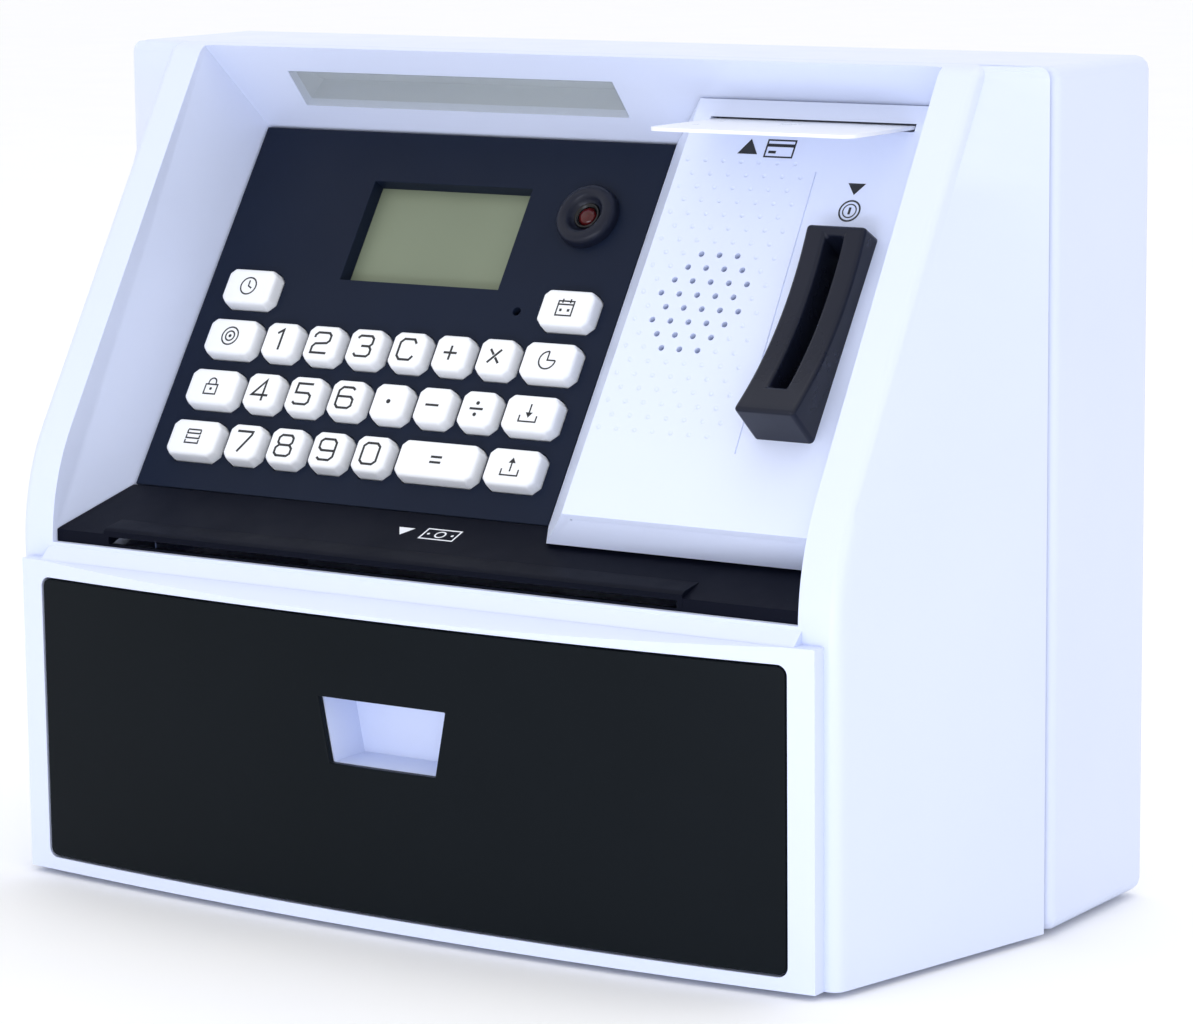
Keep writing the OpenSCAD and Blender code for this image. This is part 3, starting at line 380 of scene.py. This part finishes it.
def keyCap(node):  # builds the cap and says where its foot stands
    low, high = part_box(node)
    halfWide = (high.x - low.x) / 2 - capPlan["flange"]
    place = panelMatrix(placeOnPanel(node, keyPlan["halfHigh"], keyPlan["proud"]))
    rings = [[place @ Vector((p.x, p.y, -capPlan["skirt"])) for p in capOutline(halfWide, 0)]]
    for inset, height in capPlan["profile"]:
        rings.append([place @ Vector((p.x, p.y, height * mm)) for p in capOutline(halfWide, inset * mm)])
    bm = bmesh.new()
    loft(bm, rings)
    newPiece(node.replace("key_", "cap_"), bm, keyAbs, node, (node,), 40)
    return place


# ---- legends: strokes, rings and discs of printed ink
def stroke(bm, points, width, closed=False):  # flat ribbon along a line, in millimetres
    pts = [Vector(p) for p in points]
    count = len(pts)
    sides = []
    for i, p in enumerate(pts):
        ahead = pts[(i + 1) % count] - p if closed or i < count - 1 else p - pts[i - 1]
        back = p - pts[i - 1] if closed or i > 0 else ahead
        along = (ahead.normalized() + back.normalized()).normalized()
        across = Vector((-along.y, along.x))
        stretch = 1 / max(0.4, across.dot(Vector((-ahead.y, ahead.x)).normalized()))
        sides.append((p + across * width / 2 * stretch, p - across * width / 2 * stretch))
    verts = [(bm.verts.new((a.x, a.y, 0)), bm.verts.new((b.x, b.y, 0))) for a, b in sides]
    for i in range(count if closed else count - 1):
        (a, b), (c, d) = verts[i], verts[(i + 1) % count]
        bm.faces.new((b, d, c, a))


def arc(cx, cy, r, start=0, turn=360, steps=28):
    span = range(steps if turn == 360 else steps + 1)
    return [(cx + r * math.cos(math.radians(start + turn * i / steps)),
             cy + r * math.sin(math.radians(start + turn * i / steps))) for i in span]


def filled(bm, points):
    bm.faces.new([bm.verts.new((x, y, 0)) for x, y in points])


def rectangle(cx, cy, w, h):
    left, right, low, high = cx - w / 2, cx + w / 2, cy - h / 2, cy + h / 2
    return [(left, low), (right, low), (right, high), (left, high)]


def drawClock(bm, w):
    stroke(bm, arc(0, 0, 2.3), w, True)
    stroke(bm, [(0, 1.5), (0, 0), (1.1, -0.6)], w)


def drawGoal(bm, w):
    stroke(bm, arc(0, 0, 2.4), w, True)
    stroke(bm, arc(0, 0, 1.3), w, True)
    filled(bm, arc(0, 0, 0.45, steps=12))


def drawPadlock(bm, w):
    stroke(bm, rectangle(0, -0.8, 3.6, 2.6), w, True)
    stroke(bm, [(-1.1, 0.5)] + arc(0, 1.1, 1.1, 180, -180, 12) + [(1.1, 0.5)], w)
    filled(bm, arc(0, -0.7, 0.4, steps=12))


def drawCoins(bm, w):
    for level in (-1.6, -0.3, 1.0):
        stroke(bm, [(-2.0, level + 0.9), (-2.0, level), (2.0, level), (2.0, level + 0.9)], w)
    stroke(bm, [(-2.0, 2.0), (2.0, 2.0)], w)


def drawCalendar(bm, w):
    stroke(bm, rectangle(0, -0.2, 4.4, 3.8), w, True)
    stroke(bm, [(-2.2, 0.8), (2.2, 0.8)], w)
    for x in (-1.1, 1.1):
        stroke(bm, [(x, 1.2), (x, 2.3)], w)
        filled(bm, rectangle(x, -0.7, 0.7, 0.7))


def drawShortfall(bm, w):
    stroke(bm, arc(0, 0, 2.3, 90, 270, 22), w)
    stroke(bm, [(0, 2.3), (0, 0), (2.3, 0)], w)


def drawDeposit(bm, w):
    stroke(bm, [(-2.4, -0.6), (-2.4, -2.2), (2.4, -2.2), (2.4, -0.6)], w)
    stroke(bm, [(0, 2.4), (0, -0.4)], w)
    filled(bm, [(-1.0, 0.2), (0, -1.2), (1.0, 0.2)])


def drawWithdraw(bm, w):
    stroke(bm, [(-2.4, -0.6), (-2.4, -2.2), (2.4, -2.2), (2.4, -0.6)], w)
    stroke(bm, [(0, -1.2), (0, 1.2)], w)
    filled(bm, [(-1.0, 1.0), (1.0, 1.0), (0, 2.4)])


def drawPlus(bm, w):
    stroke(bm, [(-1.9, 0), (1.9, 0)], w)
    stroke(bm, [(0, 1.9), (0, w / 2)], w)
    stroke(bm, [(0, -w / 2), (0, -1.9)], w)


def drawMinus(bm, w):
    stroke(bm, [(-1.9, 0), (1.9, 0)], w)


def drawTimes(bm, w):
    stroke(bm, [(-1.6, -1.8), (1.6, 1.8)], w)
    stroke(bm, [(-1.6, 1.8), (-w / 2, w * 0.56)], w)
    stroke(bm, [(w / 2, -w * 0.56), (1.6, -1.8)], w)


def drawDivide(bm, w):
    drawMinus(bm, w)
    for y in (1.5, -1.5):
        filled(bm, arc(0, y, 0.5, steps=14))


def drawEquals(bm, w):
    for y in (0.7, -0.7):
        stroke(bm, [(-1.6, y), (1.6, y)], w)


def drawPoint(bm, w):
    filled(bm, arc(0, 0, 0.6, steps=14))


inkPlan = {"thick": 0.03 * mm, "iconLine": 0.4, "signLine": 0.6, "digitLine": 0.62, "digitHalf": (2.35, 2.75)}
# Digits of a wide square-shouldered face, in a box 2 wide and 2 high about the middle
digitLines = {
    "0": [[(-0.6, 1), (0.6, 1), (1, 0.7), (1, -0.7), (0.6, -1), (-0.6, -1), (-1, -0.7), (-1, 0.7)]],
    "1": [[(-0.45, 0.62), (0.2, 1), (0.2, -1)]],
    "2": [[(-1, 0.5), (-1, 0.75), (-0.7, 1), (0.7, 1), (1, 0.75), (1, 0.25), (0.7, 0), (-0.7, -0.1),
           (-1, -0.4), (-1, -1), (1, -1)]],
    "3": [[(-1, 0.75), (-0.7, 1), (0.7, 1), (1, 0.75), (1, 0.25), (0.7, 0), (-0.3, 0)],
          [(0.7, 0), (1, -0.3), (1, -0.75), (0.7, -1), (-0.7, -1), (-1, -0.75)]],
    "4": [[(0.4, -1), (0.4, 1), (-1, -0.45), (1.05, -0.45)]],
    "5": [[(1, 1), (-0.9, 1), (-0.95, 0.1), (0.65, 0.1), (1, -0.15), (1, -0.75), (0.7, -1), (-0.7, -1),
           (-1, -0.8)]],
    "6": [[(0.95, 0.8), (0.6, 1), (-0.6, 1), (-1, 0.65), (-1, -0.7), (-0.65, -1), (0.65, -1), (1, -0.75),
           (1, -0.15), (0.65, 0.1), (-0.95, 0.1)]],
    "7": [[(-1, 1), (1, 1), (0.95, 0.7), (-0.3, -1)]],
    "8": [[(-0.6, 1), (0.6, 1), (0.9, 0.75), (0.9, 0.3), (0.6, 0.05), (-0.6, 0.05), (-0.9, 0.3),
           (-0.9, 0.75)],
          [(0.65, 0.05), (1, -0.25), (1, -0.75), (0.65, -1), (-0.65, -1), (-1, -0.75), (-1, -0.25),
           (-0.65, 0.05)]],
    "9": [[(-0.95, -0.8), (-0.6, -1), (0.6, -1), (1, -0.65), (1, 0.7), (0.65, 1), (-0.65, 1), (-1, 0.75),
           (-1, 0.15), (-0.65, -0.1), (0.95, -0.1)]],
    "C": [[(1, 0.6), (0.65, 1), (-0.6, 1), (-1, 0.65), (-1, -0.65), (-0.6, -1), (0.65, -1), (1, -0.6)]],
}


def drawDigit(bm, letter, w):
    halfWide, halfHigh = inkPlan["digitHalf"]
    for line in digitLines[letter]:
        closed = letter in "08" and line is digitLines[letter][0]
        stroke(bm, [(x * halfWide, y * halfHigh) for x, y in line], w, closed)


def printInk(name, bm, place, material, body):  # gives the flat ink its film thickness
    for v in bm.verts:
        v.co = Vector((v.co.x * mm, v.co.y * mm, 0))
    made = bmesh.ops.extrude_face_region(bm, geom=list(bm.faces))
    for item in made["geom"]:
        if isinstance(item, bmesh.types.BMVert):
            item.co.z += inkPlan["thick"]
    bm.transform(place)
    return newPiece(name, bm, material, body, (), 30)


iconDrawings = {"key_clock": drawClock, "key_goal": drawGoal, "key_password": drawPadlock,
                "key_balance": drawCoins, "key_days": drawCalendar, "key_shortfall": drawShortfall,
                "key_deposit": drawDeposit, "key_withdraw": drawWithdraw}
signDrawings = {"key_plus": drawPlus, "key_minus": drawMinus, "key_times": drawTimes,
                "key_divide": drawDivide, "key_equals": drawEquals, "key_point": drawPoint}
for node in sorted(n for n in frame["nodes"] if n.startswith("key_")):
    place = keyCap(node)
    ink = bmesh.new()
    if node in iconDrawings:
        iconDrawings[node](ink, inkPlan["iconLine"])
    elif node in signDrawings:
        signDrawings[node](ink, inkPlan["signLine"])
    else:
        letter = "C" if node == "key_clear" else node[-1]
        drawDigit(ink, letter, inkPlan["digitLine"])
    face = place @ Matrix.Translation((0, 0, keyPlan["proud"]))
    printInk(node.replace("key_", "ink_"), ink, face, inkBlack, node)
print("stage: keys and legends")


# ---- the CAD surfaces with rounded edges and their own plastics
shellPlan = {  # node: (edge rounding in mm, material, slot, body)
    "front_housing": (0.9, whiteAbs, "white_shell", "housing"),
    "rear_housing": (0.8, whiteAbs, "white_shell", "housing"),
    "keypad_panel": (0.3, blackPanelAbs, "black_panel", "housing"),
    # note shelf: the darker copy of the panel plastic, painted shade
    "note_shelf": (0.3, shadedShelfAbs, "black_panel", "housing"),
    "drawer_front": (0.4, drawerAbs, "black_drawer", "drawer"),
    "drawer_tray": (0.3, whiteAbs, "white_shell", "drawer"),
    "battery_door": (0.3, whiteAbs, "white_shell", "housing"),
    "rubber_feet": (0.5, rubber, "rubber", "housing"),
}
for node, (rounding, material, slot, body) in shellPlan.items():
    bm = roundEdges(wholeFaces(frame["nodes"][node].data), rounding * mm, shellRounding["segments"])
    skin = newPiece(node + "_skin", bm, material, body, (node,), 32)
    flattenFaces(skin)
print("stage: shells")


# ---- coin bezel: a thick curved moulding with well rounded edges, softer than the panels
bezelPlan = {"rounding": 1.1, "steps": 4, "foot": 15.5, "shortest": 1.0, "merge": 0.5}


def aboveBlock(edge):  # an edge that shows: not the foot that stands in the block, nor a sliver
    heights = [(v.co - panelFoot).dot(outward) for v in edge.verts]
    return max(heights) > bezelPlan["foot"] * mm and edge.calc_length() > bezelPlan["shortest"] * mm


bezelMesh = wholeFaces(frame["nodes"]["coin_bezel"].data)
bmesh.ops.remove_doubles(bezelMesh, verts=bezelMesh.verts, dist=bezelPlan["merge"] * mm)
roundEdges(bezelMesh, bezelPlan["rounding"] * mm, bezelPlan["steps"], aboveBlock, False)
bezel = newPiece("coin_bezel_skin", bezelMesh, bezelAbs, "housing", ("coin_bezel",), 40)
flattenFaces(bezel)

# ---- card block: its grille holes are the CAD's, the blind dimples between them are cut here
blockPlan = {"rounding": 0.45, "top": 15.0, "pitchX": 4.87, "pitchS": 3.51, "firstS": 65.285, "firstX": 54.5,
             "fieldX": (38.0, 72.5), "fieldS": (17.0, 90.0), "ball": 0.95, "lift": 0.6, "clearOfHole": 1.9,
             "creaseFrom": (74.0, 88.0), "creaseTo": (76.5, 16.0), "creaseWide": 0.7, "creaseDeep": 0.35,
             "chinTop": (-2.6, 15.0), "chinFoot": (-6.6, 6.0), "lipX": (38.5, 99.0), "lipDrop": 1.7,
             "lipWide": 0.45, "lipDeep": 0.6, "lipOut": 0.3, "lipBand": 0.8, "steps": 3, "rimBand": 0.2,
             "rows": range(-7, 15), "columns": range(-5, 5), "evenShift": 0.25, "oddShift": 0.75,
             "shortest": 2.5, "creaseShortest": 60}


def ball(bm, centre, radius, rings=6, around=12):  # small sphere built from rings, for cutting a dimple
    levels = []
    for k in range(1, rings):
        lift, wide = math.cos(math.pi * k / rings), math.sin(math.pi * k / rings)
        levels.append([centre + (Vector((1, 0, 0)) * math.cos(2 * math.pi * i / around) * wide
                                 + upward * math.sin(2 * math.pi * i / around) * wide
                                 + outward * lift) * radius for i in range(around)])
    loft(bm, levels)


def cutAway(bm, cutterMesh, name):  # one closed shape less a set of others
    pair = []
    for shape in (bm, cutterMesh):
        bmesh.ops.recalc_face_normals(shape, faces=shape.faces)
        mesh = bpy.data.meshes.new(name)
        shape.to_mesh(mesh)
        shape.free()
        pair.append(bpy.data.objects.new(name, mesh))
        bpy.context.scene.collection.objects.link(pair[-1])
    cut = pair[0].modifiers.new("cut", "BOOLEAN")
    cut.object = pair[1]
    cut.solver = "MANIFOLD"
    bpy.context.view_layer.update()
    result = wholeFaces(pair[0].evaluated_get(bpy.context.evaluated_depsgraph_get()).data)
    for thing in pair:
        bpy.data.objects.remove(thing)
    return result


def dimpleSpots():  # the grille's own pattern carried on over the block, less where a hole is
    top = blockPlan["top"] * mm
    rims = [v.co for v in frame["nodes"]["card_panel"].data.vertices
            if abs((v.co - panelFoot).dot(outward) - top) < blockPlan["rimBand"] * mm]
    spots = []
    for row in blockPlan["rows"]:
        s = blockPlan["firstS"] - row * blockPlan["pitchS"]
        shift = blockPlan["evenShift"] if row % 2 == 0 else blockPlan["oddShift"]
        for column in blockPlan["columns"]:
            x = blockPlan["firstX"] + (column + shift) * blockPlan["pitchX"]
            spot = onPanel(x * mm, s * mm, top)
            inField = blockPlan["fieldX"][0] < x < blockPlan["fieldX"][1]
            inField = inField and blockPlan["fieldS"][0] < s < blockPlan["fieldS"][1]
            if inField and all((spot - v).length > blockPlan["clearOfHole"] * mm for v in rims):
                spots.append(spot)
    return spots


def cutCrease(bm):  # thin straight groove beside the dimples
    half, deep, top = blockPlan["creaseWide"] * mm / 2, blockPlan["creaseDeep"] * mm, blockPlan["top"] * mm
    ends = []
    for x, s in (blockPlan["creaseFrom"], blockPlan["creaseTo"]):
        ends.append([onPanel(x * mm - half, s * mm, top + deep), onPanel(x * mm + half, s * mm, top + deep),
                     onPanel(x * mm, s * mm, top - deep)])
    loft(bm, ends)


# the line under the lip runs along the block's lower end, square to that slope
chin = (Vector(blockPlan["chinFoot"]) - Vector(blockPlan["chinTop"])).normalized()
chinOut = Vector((chin.y, -chin.x))
chinLine = Vector(blockPlan["chinTop"]) + chin * blockPlan["lipDrop"]


def cutLip(bm):
    mouth = chinLine + chinOut * blockPlan["lipOut"]
    section = (mouth + chin * blockPlan["lipWide"], chinLine - chinOut * blockPlan["lipDeep"],
               mouth - chin * blockPlan["lipWide"])
    loft(bm, [[onPanel(x * mm, p.x * mm, p.y * mm) for p in section] for x in blockPlan["lipX"]])


def outerEdge(edge):  # long edges of the block itself, not those of the crease, the lip line or a dimple
    long = edge.calc_length() > blockPlan["shortest"] * mm
    middle = sum(v.co.x for v in edge.verts) / 2 / mm
    besideCrease = blockPlan["creaseFrom"][0] - 1 < middle < blockPlan["creaseTo"][0] + 1
    crease = besideCrease and edge.calc_length() > blockPlan["creaseShortest"] * mm
    lip = all((v.co - onPanel(v.co.x, chinLine.x * mm, chinLine.y * mm)).length < blockPlan["lipBand"] * mm
              for v in edge.verts)
    return long and not lip and not crease


cutters = bmesh.new()
dimples = dimpleSpots()
for spot in dimples:
    ball(cutters, spot + outward * blockPlan["lift"] * mm, blockPlan["ball"] * mm)
cutCrease(cutters)
cutLip(cutters)
blockMesh = cutAway(wholeFaces(frame["nodes"]["card_panel"].data), cutters, "card_block_cut")
roundEdges(blockMesh, blockPlan["rounding"] * mm, blockPlan["steps"], outerEdge)
block = newPiece("card_block", blockMesh, whiteAbs, "housing", ("card_panel",), 32)
flattenFaces(block)
print("stage: card block with", len(dimples), "dimples")

# ---- camera: turned ring with a dished face, a barrel and a dyed dome
cameraPlan = {"radius": 8.2, "proud": 3.4,
              "ring": ((8.2, 0.0), (8.15, 1.4), (7.9, 2.3), (7.4, 2.95), (6.7, 3.3), (5.9, 3.4), (5.2, 3.25),
                       (4.7, 2.8), (4.3, 2.1), (3.9, 1.5), (3.5, 1.2), (3.45, -0.8), (7.0, -0.8), (7.0, 0.0)),
              "barrel": ((3.4, -0.8), (3.4, 1.35), (3.2, 1.55), (2.9, 1.55), (2.5, 1.2), (2.45, -0.8)),
              "dome": ((2.4, -0.5), (2.4, 0.9), (2.2, 1.3), (1.8, 1.65), (1.2, 1.92), (0.6, 2.05),
                       (0.12, 2.08))}


def lathe(profile, place, steps=72, ringShape=True):  # turns a profile of (radius, height) about the local z
    turned = bmesh.new()
    rings = [[place @ Vector((r * mm * math.cos(2 * math.pi * i / steps),
                              r * mm * math.sin(2 * math.pi * i / steps), n * mm)) for i in range(steps)]
             for r, n in profile]
    levels = loft(turned, rings, not ringShape, not ringShape)
    if ringShape:
        for i in range(steps):
            turned.faces.new((levels[-1][i], levels[-1][(i + 1) % steps], levels[0][(i + 1) % steps],
                              levels[0][i]))
    return turned


cameraSpot = panelMatrix(placeOnPanel("camera_ring", cameraPlan["radius"] * mm, cameraPlan["proud"] * mm))
newPiece("camera_bowl", lathe(cameraPlan["ring"], cameraSpot), bezelAbs, "housing",
         ("camera_ring",), 50)
newPiece("camera_barrel", lathe(cameraPlan["barrel"], cameraSpot), barrelAbs, "housing", (),
         40)
newPiece("camera_dome", lathe(cameraPlan["dome"], cameraSpot, 48, False), lensRed, "housing",
         ("camera_lens",), 60)
print("stage: camera")

# ---- legends printed on the block and the shelf: arrows, a card, a coin and a banknote
legendPlan = {"film": 0.02, "line": 0.42,
              "cardArrow": (54.2, 93.9), "card": (62.6, 93.6), "coinArrow": (85.7, 84.0),
              "coin": (85.9, 78.4), "noteArrow": -11.8, "note": -1.2, "upShelf": 16.0}


def drawArrow(bm, wide, high):
    filled(bm, [(-wide / 2, -high / 2), (wide / 2, -high / 2), (0, high / 2)])


def drawCard(bm, w):
    stroke(bm, rectangle(0, 0, 7.4, 4.4), w, True)
    filled(bm, rectangle(0, 0.85, 7.0, 0.8))
    filled(bm, rectangle(-1.9, -0.95, 2.0, 0.7))


def drawCoin(bm, w):
    stroke(bm, arc(0, 0, 2.6), w, True)
    stroke(bm, arc(0, 0, 1.7), w * 0.7, True)
    filled(bm, rectangle(0, 0, 0.6, 1.8))


def drawNote(bm, w):
    stroke(bm, rectangle(0, 0, 9.4, 4.6), w, True)
    stroke(bm, arc(0, 0, 1.3), w, True)
    for x in (-3.4, 3.4):
        filled(bm, arc(x, 0, 0.4, steps=12))


shelfLow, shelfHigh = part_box("note_shelf")
shelfFront = Vector((0, shelfLow.y + 0.1 * mm, shelfLow.z + 3 * mm))
shelfRear = Vector((0, shelfHigh.y - 1.2 * mm, shelfHigh.z))
shelfUp = (shelfRear - shelfFront).normalized()
shelfOut = Vector((0, -shelfUp.z, shelfUp.y))


def onShelf(x, up):
    place = shelfFront + shelfUp * up * mm + shelfOut * legendPlan["film"] * mm + Vector((x * mm, 0, 0))
    return Matrix.Translation(place) @ Matrix((Vector((1, 0, 0)), shelfUp, shelfOut)).transposed().to_4x4()


def onBlock(spot):
    return panelMatrix(onPanel(spot[0] * mm, spot[1] * mm, (blockPlan["top"] + legendPlan["film"]) * mm))


def printLegend(name, draw, sizes, place, material):
    bm = bmesh.new()
    draw(bm, *sizes)
    printInk(name, bm, place, material, "housing")


line = legendPlan["line"]
turned = Matrix.Rotation(math.pi, 4, "Z")
coinArrow = onBlock(legendPlan["coinArrow"]) @ turned
noteArrow = onShelf(legendPlan["noteArrow"], legendPlan["upShelf"]) @ turned
note = onShelf(legendPlan["note"], legendPlan["upShelf"])
blackLegends = {  # name: (what is drawn, its sizes in mm, where)
    "ink_card_arrow": (drawArrow, (5.4, 4.0), onBlock(legendPlan["cardArrow"])),
    "ink_card": (drawCard, (line,), onBlock(legendPlan["card"])),
    "ink_coin_arrow": (drawArrow, (4.6, 3.0), coinArrow),
    "ink_coin": (drawCoin, (line,), onBlock(legendPlan["coin"])),
}
whiteLegends = {"ink_note_arrow": (drawArrow, (4.6, 3.4), noteArrow), "ink_note": (drawNote, (line,), note)}
for legends, ink, slot in ((blackLegends, inkBlack, "black_panel"), (whiteLegends, inkWhite, "white_shell")):
    for name, (draw, sizes, place) in legends.items():
        printLegend(name, draw, sizes, place, ink)
print("stage: legends")

nodeMaterials = {
    "batteries": cellSleeve, "battery_contacts": steel, "housing_screws": steel, "keypad_membrane": silicone,
    "main_board": boardMask, "board_screws": steel, "display_lens": lcdFilm, "display_module": greyAbs,
    "camera_module": boardMask, "window_lens": windowClear,
    "light_box": reflectorAbs, "led_strip": ledResin, "speaker": blackAbs, "coin_chute": greyAbs,
    "coin_lever": greyAbs, "coin_switch": blackAbs, "card_guide": greyAbs, "card_switch": blackAbs,
    "lock_solenoid": steel, "lock_bolt": steel, "lock_catch": steel, "bank_card": cardPvc,
}
for node, material in nodeMaterials.items():
    slots = frame["nodes"][node].data.materials
    if not slots:
        slots.append(material)
    for i in range(len(slots)):
        slots[i] = material
print("stage: carried-over nodes painted")


# ---- floor, light and camera
studio = {"floorHalf": 4.0, "floorDeep": 0.01, "world": "#FFFFFF", "worldPower": 1.0}
bm = bmesh.new()
half = studio["floorHalf"]
corners = ((-half, -half), (half, -half), (half, half), (-half, half))
loft(bm, [[(x, y, z) for x, y in corners] for z in (-studio["floorDeep"], 0)])
floorMesh = bpy.data.meshes.new("floor")
bm.to_mesh(floorMesh)
bm.free()
floor = bpy.data.objects.new("floor", floorMesh)
bpy.context.scene.collection.objects.link(floor)
floorMesh.materials.append(mouldedPlastic("paleStudioBoard", "#FEFEFF", "#FAFBFF", 0.85, 0.03, 2.0, 0.01))
floor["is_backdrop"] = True

world = bpy.data.worlds.new("studio")
bpy.context.scene.world = world
world.use_nodes = True
world.node_tree.nodes["Background"].inputs["Color"].default_value = linear(studio["world"])
world.node_tree.nodes["Background"].inputs["Strength"].default_value = studio["worldPower"]


middle = (Vector(cadBox[0]) + Vector(cadBox[1])) / 2
softboxes = {  # name: (place, what it faces, size, watts, colour)
    "keyLight": ((-0.9, -1.1, 1.3), middle, (1.0, 1.0), 0.6, "#FFFFFF"),
    "lowLight": ((0.15, -0.55, 0.04), (0, 0.03, 0.15), (0.5, 0.12), 1.1, "#E6ECFF"),
    "sideLight": ((1.5, -0.6, 0.7), middle, (0.9, 1.0), 0.9, "#EEF2FF"),
    "topLight": ((0.1, 0.2, 1.7), middle, (1.4, 1.0), 4.0, "#FFFFFF"),
}
for name, (place, target, size, power, colour) in softboxes.items():
    light = bpy.data.lights.new(name, "AREA")
    light.shape = "RECTANGLE"
    light.size, light.size_y = size
    light.energy = power
    light.color = linear(colour)[:3]
    lamp = bpy.data.objects.new(name, light)
    lamp.location = place
    lamp.rotation_euler = (Vector(target) - Vector(place)).to_track_quat("-Z", "Y").to_euler()
    bpy.context.scene.collection.objects.link(lamp)

view = {"place": (0.5653, -0.8277, 0.2609), "yaw": 33.45, "pitch": -9.64, "roll": -0.61, "lens": 127.66}
camera = bpy.data.cameras.new("camera")
camera.lens = view["lens"]
camera.sensor_width = 36
camera.clip_start = 0.01
eye = bpy.data.objects.new("camera", camera)
yaw, pitch, roll = (math.radians(view[k]) for k in ("yaw", "pitch", "roll"))
forward = Vector((-math.sin(yaw) * math.cos(pitch), math.cos(yaw) * math.cos(pitch), math.sin(pitch)))
right = Vector((math.cos(yaw), math.sin(yaw), 0))
top = right.cross(forward)
right, top = (right * math.cos(roll) + top * math.sin(roll), top * math.cos(roll) - right * math.sin(roll))
eye.matrix_world = Matrix.Translation(view["place"]) @ Matrix((right, top, -forward)).transposed().to_4x4()
bpy.context.scene.collection.objects.link(eye)
bpy.context.scene.camera = eye
bpy.context.scene.view_settings.view_transform = "Standard"
print("stage: studio")

size = {"cad": [list(corner) for corner in cadBox], "visual": [list(corner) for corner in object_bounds()]}
